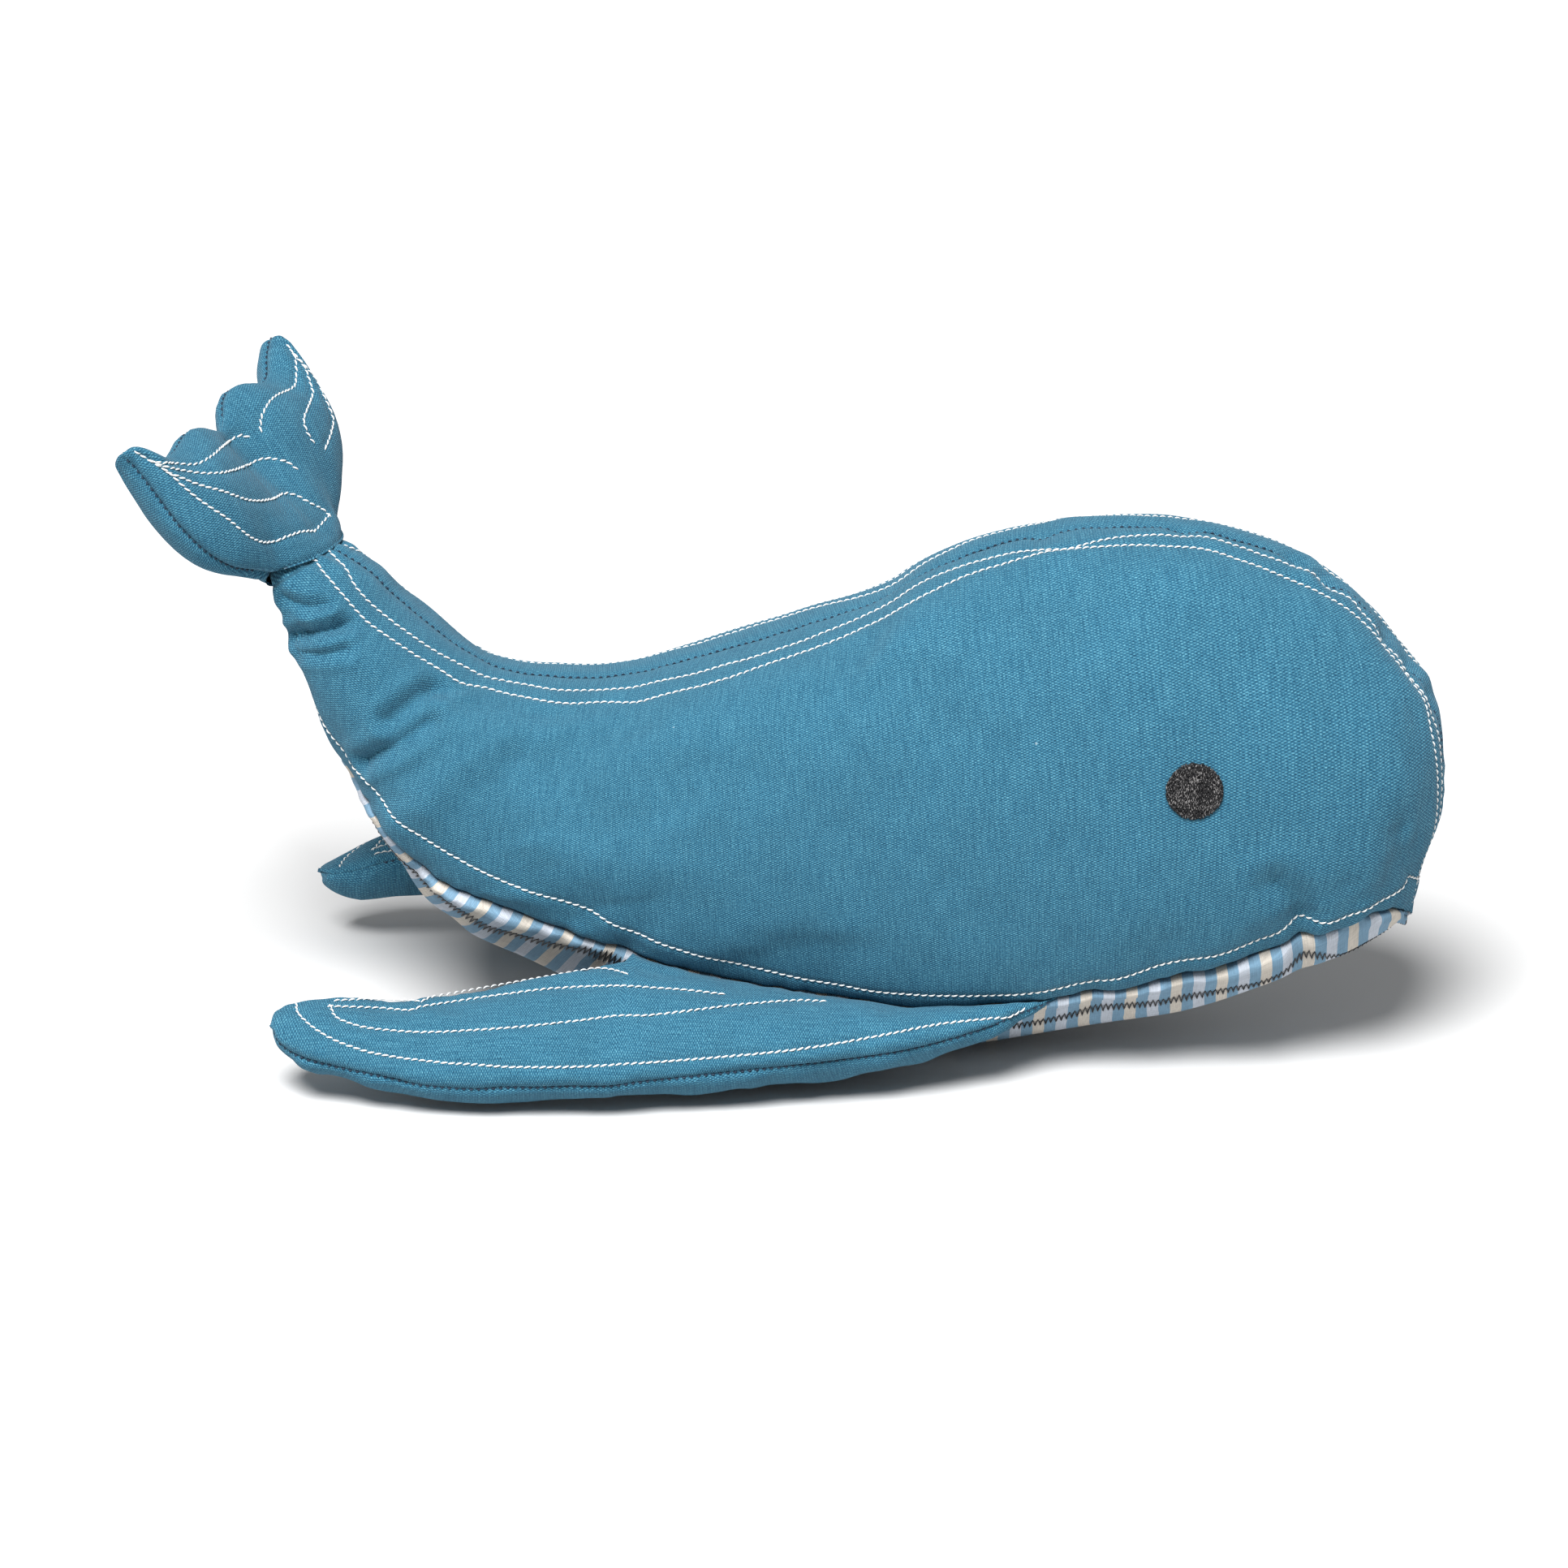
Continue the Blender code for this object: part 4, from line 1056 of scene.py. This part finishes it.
flukes = [fluke_grid(True), fluke_grid(False)]
fluke_normals = limb_normals(flukes, fluke_up)
at_tail = (np.abs(np.arange(FLUKE_ROWS) - FLUKE_ROWS // 2) < 10).astype(float)
flukes = stuffed_limb(flukes, fluke_normals, at_tail, 31.0)
flukes[0] = quilt(flukes[0], fluke_normals[0], FLUKE_VEINS, 0.0010)
sewn_shut(flukes, 0.003)
fluke_pieces = []
for name, grid, sign in (("upper", flukes[0], 1), ("lower", flukes[1], -1)):
    outer = np.broadcast_to(fluke_up * sign, grid.shape)
    flat = flat_pattern(grid, tuple(fluke_along), (4, 4))
    fluke_pieces.append(panel(f"fluke_{name}_cover", grid, flat, outer, blue))


# The fins. Each is a long leaf of two canvas panels, caught in the seam between side and belly
# and free behind it. It hangs from that seam, thickest towards its outer edge.
FIN_LENGTH = 0.2675
FIN_WIDTH = 0.058
FIN_THICKNESS = 0.030
FIN_TOP_SHARE = 0.35
FIN_LEAN = 1.35
FIN_DROOP = math.radians(26)
FIN_RISE = math.radians(2.5)
FIN_FRONT_SHARE = 0.672
FIN_BACK_SHARE = 0.290
FIN_ROWS = 181
FIN_COLUMNS = 45
FIN_STATION_SHARES = (
    (0.000, 0.00, 0.00, 0.00),
    (0.045, 0.00, 0.19, 0.26),
    (0.10, 0.00, 0.35, 0.46),
    (0.19, 0.00, 0.54, 0.72),
    (0.28, 0.00, 0.66, 0.88),
    (0.38, 0.00, 0.77, 0.97),
    (0.48, 0.00, 0.88, 1.00),
    (0.58, 0.13, 0.96, 0.98),
    (0.68, 0.22, 1.00, 0.92),
    (0.77, 0.29, 1.00, 0.84),
    (0.85, 0.345, 0.96, 0.74),
    (0.92, 0.35, 0.885, 0.62),
    (0.962, 0.39, 0.825, 0.50),
    (0.986, 0.44, 0.75, 0.36),
    (0.997, 0.51, 0.67, 0.20),
    (1.000, 0.59, 0.600, 0.00),
)

root_seam = sides[-1][belly_rows[0] : ROWS - 20, -1]


def on_root(share):
    """A place on the belly seam, where the right fin is caught in it, by its share of the body."""
    x = (share - ORIGIN_SHARE) * BODY_LENGTH
    return np.array([np.interp(x, root_seam[:, 0], root_seam[:, k]) for k in range(3)])


fin_front = on_root(FIN_FRONT_SHARE)
fin_back = np.array((-math.cos(FIN_RISE), 0, math.sin(FIN_RISE)))
fin_slope = np.array((0, -math.cos(FIN_DROOP), -math.sin(FIN_DROOP)))
fin_up = np.cross(fin_back, fin_slope)
fin_up /= np.linalg.norm(fin_up) * np.sign(fin_up[2])
fin_out = np.cross(fin_up, fin_back)
fin_out /= np.linalg.norm(fin_out) * np.sign(-fin_out[1])
FIN_ROOT = (FIN_FRONT_SHARE - FIN_BACK_SHARE) * BODY_LENGTH / FIN_LENGTH


def fin_grid(upper):
    """One panel of the right fin, from the front of its root to its tip."""
    part = 2 * FIN_TOP_SHARE if upper else 2 - 2 * FIN_TOP_SHARE
    sign = 1 if upper else -1
    share = spread(FIN_COLUMNS)
    swell = np.sin(math.pi * share**FIN_LEAN).clip(min=0) ** LIMB_FULLNESS
    gap = on_root(FIN_BACK_SHARE) - (fin_front + fin_back * FIN_ROOT * FIN_LENGTH)
    rows = []
    for place, inner_out, outer_out, thick in along_table(FIN_STATION_SHARES, FIN_ROWS).clip(min=0):
        spine = fin_front + fin_back * place * FIN_LENGTH
        outer = spine + fin_out * outer_out * FIN_WIDTH
        if place <= FIN_ROOT:
            inner = on_root(FIN_FRONT_SHARE - place * FIN_LENGTH / BODY_LENGTH)
        else:
            inner = spine + fin_out * inner_out * FIN_WIDTH
            inner = inner + gap * (1 - (place - FIN_ROOT) / (1 - FIN_ROOT)) ** 2
        height = thick * FIN_THICKNESS / 2 * part * swell
        rows.append(inner + (outer - inner) * share[:, None] + fin_up * (sign * height)[:, None])
    return np.array(rows)


FIN_LINES = (
    ((422, 1228), (388, 1229), (369, 1234), (365, 1244), (377, 1259), (403, 1277), (434, 1290),
     (472, 1300), (530, 1308), (587, 1312), (644, 1315), (721, 1314), (800, 1309), (867, 1304),
     (956, 1296), (1023, 1287), (1090, 1275), (1157, 1262), (1220, 1255), (1242, 1253), (1260, 1244)),
    ((407, 1240), (415, 1254), (445, 1265), (484, 1270), (530, 1272), (591, 1269), (644, 1265),
     (702, 1259), (759, 1252), (800, 1251), (845, 1246), (912, 1238), (979, 1233), (1014, 1234)),
    ((407, 1240), (465, 1242), (503, 1245), (522, 1240), (568, 1233), (625, 1225), (683, 1218),
     (759, 1215), (800, 1217), (845, 1220), (889, 1225)),
    ((415, 1233), (461, 1231), (491, 1231), (518, 1234), (530, 1229), (549, 1224), (606, 1214),
     (644, 1208), (664, 1201), (683, 1197), (721, 1194), (748, 1194), (771, 1200)),
)

# How each fin lies: from and to a share of its length, how far it is bent up, and how far more at
# its outer edge.
RIGHT_BENDS = ((0.40, 1.00, -0.0035, 0),)
LEFT_BENDS = ((0.54, 0.84, 0.0028, 0.0140), (0.86, 1.00, -0.0088, 0))
LEFT_SLACK = 0.65  # how much of its thickness the left fin lacks at its tip


def bent(points, bends):
    """A fin's points raised or lowered along it, and never below the floor."""
    points = np.array(points, float)
    place = (fin_front[0] - points[..., 0]) / FIN_LENGTH
    out = (np.abs(points[..., 1]) + fin_front[1]) / FIN_WIDTH
    for start, end, amount, outer_amount in bends:
        points[..., 2] += (amount + outer_amount * out) * (1 - fade(place, start, end))
    points[..., 2] = points[..., 2].clip(min=0)
    return points


right_fin = [bent(fin_grid(upper), RIGHT_BENDS) for upper in (True, False)]
fin_normals = limb_normals(right_fin, fin_up)
in_seam = (np.arange(FIN_ROWS) < FIN_ROWS // 2).astype(float)
right_fin = stuffed_limb(right_fin, fin_normals, in_seam, 51.0)
right_fin[0] = quilt(right_fin[0], fin_normals[0], FIN_LINES, 0.0009)
sewn_shut(right_fin)
right_fin[1][..., 2] = right_fin[1][..., 2].clip(min=0)

# The left fin is the same again, mirrored. It lies a little higher, with less filling at its tip.
MIRROR = np.array((1, -1, 1))
left_fin = [bent(grid * MIRROR, LEFT_BENDS) for grid in right_fin]
slack = LEFT_SLACK * np.clip((np.linspace(0, 1, FIN_ROWS) - 0.76) / 0.20, 0, 1)[:, None, None]
fins = {-1: right_fin, 1: [grid + ((left_fin[0] + left_fin[1]) / 2 - grid) * slack for grid in left_fin]}
turns = {-1: 1, 1: MIRROR}
fin_pieces = {}
for side, name in SIDES:
    for key, grid, sign in zip(("top", "bottom"), fins[side], (1, -1)):
        outer = np.broadcast_to(fin_up * turns[side] * sign, grid.shape)
        upright = tuple(fin_back * turns[side]) if key == "top" else (0, 0, 1)
        flat = flat_pattern(grid, upright)
        fin_pieces[side, key] = panel(f"{name}_fin_{key}_cover", grid, flat, outer, blue)


# Thread. White topstitching in a heavy cotton thread lies on the canvas in short slanting
# stitches. Each is one twisted strand that dives into the cloth at both ends.
STITCH_PITCH = 0.0026
SEAM_PITCH = 0.0025
SLANT = 0.26
SEAM_SLANT = 0.1
THREAD_WIDTH = 0.00070
STITCH_INPUTS = {
    "Geometry": "Geometry", "Pitch": "Float", "Slant": "Float", "Stitch": "Object", "Thread": "Material",
}


def strand(name, length, height, sink):
    """A single stitch along X, arched up in Z."""
    rings, segments = 7, 6
    points, faces = [], []
    for k in range(rings):
        t = k / (rings - 1)
        swell = max(math.sin(math.pi * (0.06 + 0.88 * t)), 0) ** 0.5
        lift = height * (1 - (2 * t - 1) ** 2) - sink
        for j in range(segments):
            angle = 2 * math.pi * j / segments
            y = THREAD_WIDTH / 2 * swell * math.cos(angle)
            z = lift + THREAD_WIDTH / 2 * 0.8 * swell * math.sin(angle)
            points.append(((t - 0.5) * length, y, z))
    for k in range(0, (rings - 1) * segments, segments):
        for j in range(segments):
            n = (j + 1) % segments
            faces.append((k + j, k + segments + j, k + segments + n, k + n))
    faces.append(tuple(range(segments)))
    faces.append(tuple(reversed(range((rings - 1) * segments, rings * segments))))
    data = bpy.data.meshes.new(name)
    data.from_pydata(points, [], faces)
    mesh = bmesh.new()
    mesh.from_mesh(data)
    bmesh.ops.recalc_face_normals(mesh, faces=mesh.faces)
    mesh.to_mesh(data)
    mesh.free()
    data.shade_smooth()
    return show(name, data)


def stitch_tree():
    """Stitches set along lines that carry the cloth's normal, at an even pitch."""
    tree = bpy.data.node_groups.new("stitches", "GeometryNodeTree")
    for name, kind in STITCH_INPUTS.items():
        tree.interface.new_socket(name, in_out="INPUT", socket_type=f"NodeSocket{kind}")
    tree.interface.new_socket("Geometry", in_out="OUTPUT", socket_type="NodeSocketGeometry")

    def add(kind, **settings):
        node = tree.nodes.new(kind)
        for name, value in settings.items():
            setattr(node, name, value)
        return node

    given = add("NodeGroupInput")
    made = add("NodeGroupOutput")
    line = add("GeometryNodeMeshToCurve")
    points = add("GeometryNodeCurveToPoints", mode="LENGTH")
    up = add("GeometryNodeInputNamedAttribute", data_type="FLOAT_VECTOR")
    lengthwise = add("FunctionNodeAlignRotationToVector", axis="X")
    standing = add("FunctionNodeAlignRotationToVector", axis="Z", pivot_axis="X")
    chance = add("FunctionNodeRandomValue", data_type="FLOAT")
    slant = add("ShaderNodeMath", operation="ADD")
    twist = add("FunctionNodeAxisAngleToRotation")
    turned = add("FunctionNodeRotateRotation", rotation_space="LOCAL")
    shape = add("GeometryNodeObjectInfo", transform_space="ORIGINAL")
    sewn = add("GeometryNodeInstanceOnPoints")
    real = add("GeometryNodeRealizeInstances")
    dyed = add("GeometryNodeSetMaterial")
    up.inputs["Name"].default_value = "up"
    chance.inputs[2].default_value = -0.10
    chance.inputs[3].default_value = 0.10
    chance.inputs["Seed"].default_value = 7
    twist.inputs["Axis"].default_value = (0, 0, 1)
    for start, leaves, end, enters in (
        (given, "Geometry", line, "Mesh"),
        (line, "Curve", points, "Curve"),
        (given, "Pitch", points, "Length"),
        (points, "Tangent", lengthwise, "Vector"),
        (lengthwise, "Rotation", standing, "Rotation"),
        (up, "Attribute", standing, "Vector"),
        (given, "Slant", slant, 0),
        (chance, 1, slant, 1),
        (slant, 0, twist, "Angle"),
        (standing, "Rotation", turned, "Rotation"),
        (twist, "Rotation", turned, "Rotate By"),
        (given, "Stitch", shape, "Object"),
        (points, "Points", sewn, "Points"),
        (shape, "Geometry", sewn, "Instance"),
        (turned, "Rotation", sewn, "Rotation"),
        (sewn, "Instances", real, "Geometry"),
        (real, "Geometry", dyed, "Geometry"),
        (given, "Thread", dyed, "Material"),
        (dyed, "Geometry", made, "Geometry"),
    ):
        tree.links.new(start.outputs[leaves], end.inputs[enters])
    return tree


stitching = stitch_tree()


def final_mesh(thing):
    """The mesh that an object's modifiers or curve make. The object itself is removed."""
    graph = bpy.context.evaluated_depsgraph_get()
    graph.update()
    mesh = bpy.data.meshes.new_from_object(thing.evaluated_get(graph))
    bpy.data.objects.remove(thing)
    mesh.shade_smooth()
    return mesh


def sew(name, lines, surfaces, shape, thread, pitch, slant):
    """Stitches along lines of points, each set on the nearest of the surfaces."""
    points, normals, edges = [], [], []
    for line in lines:
        first = len(points)
        for point in line:
            best = min((s.find_nearest(Vector(point)) for s in surfaces), key=lambda hit: hit[3])
            points.append(best[0])
            normals.append(best[1])
        edges += [(k, k + 1) for k in range(first, len(points) - 1)]
    data = bpy.data.meshes.new(name)
    data.from_pydata([tuple(p) for p in points], edges, [])
    up = data.attributes.new("up", "FLOAT_VECTOR", "POINT")
    up.data.foreach_set("vector", np.array(normals).ravel())
    guide = show(name + "_guide", data)
    modifier = guide.modifiers.new("stitches", "NODES")
    modifier.node_group = stitching
    values = {"Pitch": pitch, "Slant": slant, "Stitch": shape, "Thread": thread}
    for item in stitching.interface.items_tree:
        if item.in_out == "INPUT" and item.name in values:
            modifier[item.identifier] = values[item.name]
    sewn = final_mesh(guide)
    sewn.name = name
    return show(name, sewn)


def cotton(name, color, roughness, sheen):
    """Twisted sewing thread: fine plies over the strand."""
    shades = Shades(name, roughness)
    plies = shades.noise(shades.add("ShaderNodeTexCoord", {})["Object"], 2600, 1)
    shade = shades.between(plies, 0.3, 0.7, 0.80, 1.05)
    shades.surface({"Base Color": shades.times(color, shade), "Sheen Weight": sheen})
    shades.raise_by(plies, 0.0001, 0.6)
    return shades.material


white_thread = cotton("white_thread", (0.66, 0.67, 0.66), 0.6, 0.2)
navy_thread = cotton("seam_thread", (0.006, 0.024, 0.055), 0.7, 0.0)
black_thread = cotton("black_thread", (0.010, 0.010, 0.012), 0.42, 0.0)
white_stitch = strand("white_stitch", 0.0025, 0.00042, 0.00006)
seam_stitch = strand("seam_stitch", 0.0015, 0.00044, 0.00002)
topstitch = (white_stitch, white_thread, STITCH_PITCH, SLANT)
seam = (seam_stitch, navy_thread, SEAM_PITCH, SEAM_SLANT)


def at_distances(side, stops, first, last):
    """The line on a side panel at these distances from its back seam."""
    line = []
    for r in range(first, last):
        if 0 < stops[r] < seam_place[r]:
            line.append([np.interp(stops[r], side_stops[r], sides[side][r, :, k]) for k in range(3)])
    return np.array(line)


cover_surfaces = {side: surface_of(sides[side], side_outer[side]) for side, _ in SIDES}
side_stitching = []
for side, name in SIDES:
    lines = [at_distances(side, line + beyond[side], 2, ROWS - 12) for line in back_lines]
    lines.append(at_distances(side, seam_place - belly_line, belly_rows[0] - 8, ROWS - 8))
    side_stitching.append(sew(f"{name}_side_topstitching", lines, [cover_surfaces[side]], *topstitch))
back_seam = (seam_stitch, navy_thread, STITCH_PITCH, SEAM_SLANT)
back_line = [sides[-1][3:-8, 0]]
side_stitching.append(sew("back_seam_stitches", back_line, list(cover_surfaces.values()), *back_seam))

fluke_surfaces = [surface_of(grid, normals) for grid, normals in zip(flukes, fluke_normals)]
fluke_lines = [seen_on(fluke_surfaces[0], pixels) for pixels in FLUKE_VEINS]
fluke_edges = [flukes[0][4:-4, -1], flukes[0][4:29, 0], flukes[0][-29:-4, 0]]
fluke_stitching = [
    sew("fluke_topstitching", fluke_lines, fluke_surfaces[:1], *topstitch),
    sew("fluke_seam_stitches", fluke_edges, fluke_surfaces, *seam),
]
fin_surface = surface_of(right_fin[0], fin_normals[0])
fin_lines = [seen_on(fin_surface, pixels) for pixels in FIN_LINES]
fin_edges = [right_fin[0][3:-9, -1], right_fin[0][FIN_ROWS // 2 + 4 : -9, 0]]
fin_stitching = {}
for side, name in SIDES:
    surfaces = [surface_of(grid, normals * turns[side]) for grid, normals in zip(fins[side], fin_normals)]
    bends = LEFT_BENDS if side == 1 else ()
    lines, edges = ([bent(line * turns[side], bends) for line in group] for group in (fin_lines, fin_edges))
    fin_stitching[side] = [
        sew(f"{name}_fin_topstitching", lines, surfaces[:1], *topstitch),
        sew(f"{name}_fin_seam_stitches", edges, surfaces, *seam),
    ]


# The black zigzag. A machine stitch in thin black thread runs along each edge of the belly panel
# and holds its seam allowance down.
ZIGZAG_WIDTH = 0.0056
ZIGZAG_PITCH = 0.0018
ZIGZAG_THREAD = 0.00021
STEPS = 4  # to a stroke, which is sharp at its ends and bowed a little over the cloth


def tube(name, points, radius, material):
    """A thin thread along a line of points."""
    data = bpy.data.curves.new(name, "CURVE")
    data.dimensions = "3D"
    data.bevel_depth = radius
    data.bevel_resolution = 1
    data.use_fill_caps = True
    spline = data.splines.new("POLY")
    spline.points.add(len(points) - 1)
    for spot, point in zip(spline.points, points):
        spot.co = (*point, 1)
    mesh = final_mesh(show(name, data))
    mesh.materials.clear()
    mesh.materials.append(material)
    return show(name, mesh)


belly_surface = surface_of(belly, belly_outer)
zigzag_run = seam_run[belly_rows] - seam_run[belly_rows[0]]
zigzag_reach = belly_reach[belly_rows]
row_numbers = np.arange(len(belly_rows))
for side, name in SIDES:
    points = []
    rng = np.random.default_rng(5 + side)
    for k in range(int(zigzag_run[-1] / ZIGZAG_PITCH) * 2 * STEPS):
        stroke, part = divmod(k / STEPS, 1)
        if part == 0:
            swing = rng.uniform(0.85, 1.1)
        sway = (part - 0.5) * (1 if stroke % 2 else -1) * swing
        r = np.interp((k / STEPS) * ZIGZAG_PITCH / 2, zigzag_run, row_numbers)
        low = int(r)
        if low >= len(zigzag_run) - 14:
            break
        if zigzag_reach[low] < 0.008:
            continue
        place = np.interp(r, row_numbers, zigzag_place) + sway * ZIGZAG_WIDTH
        share = side * (1 - min(place, zigzag_reach[low] * 0.8) / zigzag_reach[low])
        pair = [[np.interp(share, belly_share, belly[q, :, n]) for n in range(3)] for q in (low, low + 1)]
        spot = np.array(pair[0]) * (1 - r + low) + np.array(pair[1]) * (r - low)
        near, normal, _, _ = belly_surface.find_nearest(Vector(spot))
        lift = 0.00012 + 0.00022 * math.sin(math.pi * part)
        points.append(near + normal * (lift if near.z > 0.0005 else 0))
    piece = tube(f"{name}_belly_zigzag", points, ZIGZAG_THREAD, black_thread)
    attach(piece, "body")


# The eyes. A disc of black satin stitches, worked upright over the canvas in close columns, so
# that it stands proud and its rim is a little ragged.
EYE_RADIUS = 0.0098
EYE_PIXELS = ((1472, 975), (1472, 976))
SATIN_PITCH = 0.00034
SATIN_THREAD = 0.00027
SATIN_SINK = 0.00018  # how deep the ends of a stitch dive
SATIN_BOW = 0.00022
EYE_DOME = 0.0009
PADDING_DOME = 0.0010


def satin(name):
    """Black rayon thread in upright satin stitches, with grey highlights painted on their tops in flecks.
    """
    shades = Shades(name, 0.5)
    at = shades.add("ShaderNodeTexCoord", {})["Object"]
    relief_and_painted_glints = shades.noise(shades.stretch(at, (2900, 2900, 1250)), 1, 1.5, 0.6)
    # Grey highlights are painted into the colour where this noise runs high. They stand for light caught on
    # the stitch tops, and the same noise also raises the stitches' bump.
    painted_glints = shades.between(shades.total((relief_and_painted_glints, 1), (shades.noise(at, 330, 1), 0.25)), 0.68, 0.78)
    color = shades.blend(painted_glints, (0.004, 0.004, 0.005), (0.190, 0.184, 0.182))
    shades.surface({"Base Color": color, "Specular IOR Level": 0.25})
    shades.raise_by(relief_and_painted_glints, 0.0004, 0.7)
    return shades.material


satin_thread = satin("black_satin")


def eye_place(side):
    """The middle of an eye on its panel, with the cloth's normal, and across and up the disc."""
    middle_seen = Vector(seen_on(cover_surfaces[-1], EYE_PIXELS)[0])
    middle_seen.y *= -side
    centre, normal, _, _ = cover_surfaces[side].find_nearest(middle_seen)
    across = normal.cross(Vector((0, 0, 1))).normalized()
    up = across.cross(normal).normalized()
    if up.z < 0:
        up.negate()
    return centre, normal, across, up


def satin_lines():
    """Every stitch of the disc: how far across it is, from and to what height, and its lean."""
    rng = np.random.default_rng(11)
    x = -EYE_RADIUS
    while x <= EYE_RADIUS:
        half = math.sqrt(max(EYE_RADIUS**2 - x**2, 0)) + rng.uniform(-0.0003, 0.0004)
        y = -half + rng.uniform(-0.0010, 0)
        while y < half:
            length = rng.uniform(0.0016, 0.0030)
            low, high = max(y, -half), min(y + length, half)
            if high - low > 0.0005:
                yield x, low, high, rng.uniform(-0.00012, 0.00012)
            y += length
        x += SATIN_PITCH


for side, name in SIDES:
    centre, normal, across, up = eye_place(side)
    surface = cover_surfaces[side]
    mesh = bmesh.new()
    for x, low, high, lean in satin_lines():
        rings = []
        for t in (0, 0.12, 0.35, 0.65, 0.88, 1):
            y = low + (high - low) * t
            at_end = t in (0, 1)
            dome = EYE_DOME * max(1 - (x * x + y * y) / (EYE_RADIUS * 1.1) ** 2, 0) ** 0.5
            lift = SATIN_SINK + dome + SATIN_BOW * (1 - (2 * t - 1) ** 2) - (SATIN_SINK if at_end else 0)
            near, out, _, _ = surface.find_nearest(centre + across * (x + lean * (2 * t - 1)) + up * y)
            spot = near + out * lift
            thick = SATIN_THREAD * (0.35 if at_end else 1)
            rings.append([
                mesh.verts.new(spot + across * thick * math.cos(a) + out * thick * math.sin(a))
                for a in np.arange(5) * 2 * math.pi / 5
            ])
        for one, two in zip(rings, rings[1:]):
            for k in range(5):
                mesh.faces.new((one[k], one[(k + 1) % 5], two[(k + 1) % 5], two[k]))
        mesh.faces.new(rings[0][::-1])
        mesh.faces.new(rings[-1])
    bmesh.ops.recalc_face_normals(mesh, faces=mesh.faces)
    # The padding stitches under the satin, as one low dome.
    first = mesh.verts.new(centre + normal * PADDING_DOME)
    previous = None
    for share in (0.3, 0.6, 0.85, 0.97, 1.0):
        ring = []
        for a in np.arange(48) * 2 * math.pi / 48:
            x, y = EYE_RADIUS * share * math.cos(a), EYE_RADIUS * share * math.sin(a)
            near, out, _, _ = surface.find_nearest(centre + across * x + up * y)
            dome = PADDING_DOME * max(1 - share**2, 0) ** 0.5 - (0.0002 if share == 1.0 else 0)
            ring.append(mesh.verts.new(near + out * dome))
        for k in range(48):
            n = (k + 1) % 48
            if previous is None:
                mesh.faces.new((first, ring[k], ring[n]))
            else:
                mesh.faces.new((previous[k], ring[k], ring[n], previous[n]))
        previous = ring
    data = bpy.data.meshes.new(f"{name}_eye_embroidery")
    mesh.to_mesh(data)
    mesh.free()
    data.shade_smooth()
    data.materials.append(satin_thread)
    piece = show(f"{name}_eye_embroidery", data)
    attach(piece, "body")
    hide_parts(f"{name}_eye")


# How the pieces move. The belly panel is attached to the body. The side panels, flukes, fins and their
# stitching keep their places as they stand.
for piece in side_stitching + fluke_stitching:
    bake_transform(piece)
for side, name in SIDES:
    piece = side_pieces[side]
    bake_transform(piece)
    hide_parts(f"{name}_side_panel")
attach(belly_piece, "body")
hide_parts("belly_panel", "body_filling", "tail_filling")
for piece, nodes in zip(fluke_pieces, (("fluke_upper_panel", "fluke_filling"), ("fluke_lower_panel",))):
    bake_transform(piece)
    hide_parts(*nodes)
for side, name in SIDES:
    end = (fin_front + fin_out * 0.011) * turns[side]
    for key in ("top", "bottom"):
        piece = fin_pieces[side, key]
        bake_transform(piece)
        nodes = [f"{name}_fin_{key}_panel"] + ([f"{name}_fin_filling"] if key == "top" else [])
        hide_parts(*nodes)
    for piece in fin_stitching[side]:
        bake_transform(piece)

for thing in (white_stitch, seam_stitch):
    bpy.data.objects.remove(thing)


# The studio: a pale floor that runs out of sight, and one large soft light high in front and a
# little to the left, in an even white surround.
FLOOR = 12.0
floor_data = bpy.data.meshes.new("floor")
floor_corners = [(-FLOOR, -FLOOR, 0), (FLOOR, -FLOOR, 0), (FLOOR, FLOOR, 0), (-FLOOR, FLOOR, 0)]
floor_data.from_pydata(floor_corners, [], [(0, 1, 2, 3)])
pale = Shades("pale_floor", 0.9)
pale.surface({"Base Color": (0.58, 0.58, 0.58, 1), "Specular IOR Level": 0})
floor_data.materials.append(pale.material)
floor = show("floor", floor_data)

KEY_FROM = (-0.20, -0.92, 1.42)
key_data = bpy.data.lights.new("key", "SUN")
key_data.angle = math.radians(28)
key_data.energy = 6.6
key = show("key", key_data)
key.location = KEY_FROM
key.rotation_euler = Vector(KEY_FROM).to_track_quat("Z", "Y").to_euler()
world = bpy.data.worlds.new("studio")
world.use_nodes = True
surround = world.node_tree.nodes["Background"].inputs
surround["Color"].default_value = (1, 1, 1, 1)
surround["Strength"].default_value = 0.37
bpy.context.scene.world = world
bpy.context.scene.view_settings.view_transform = "Standard"
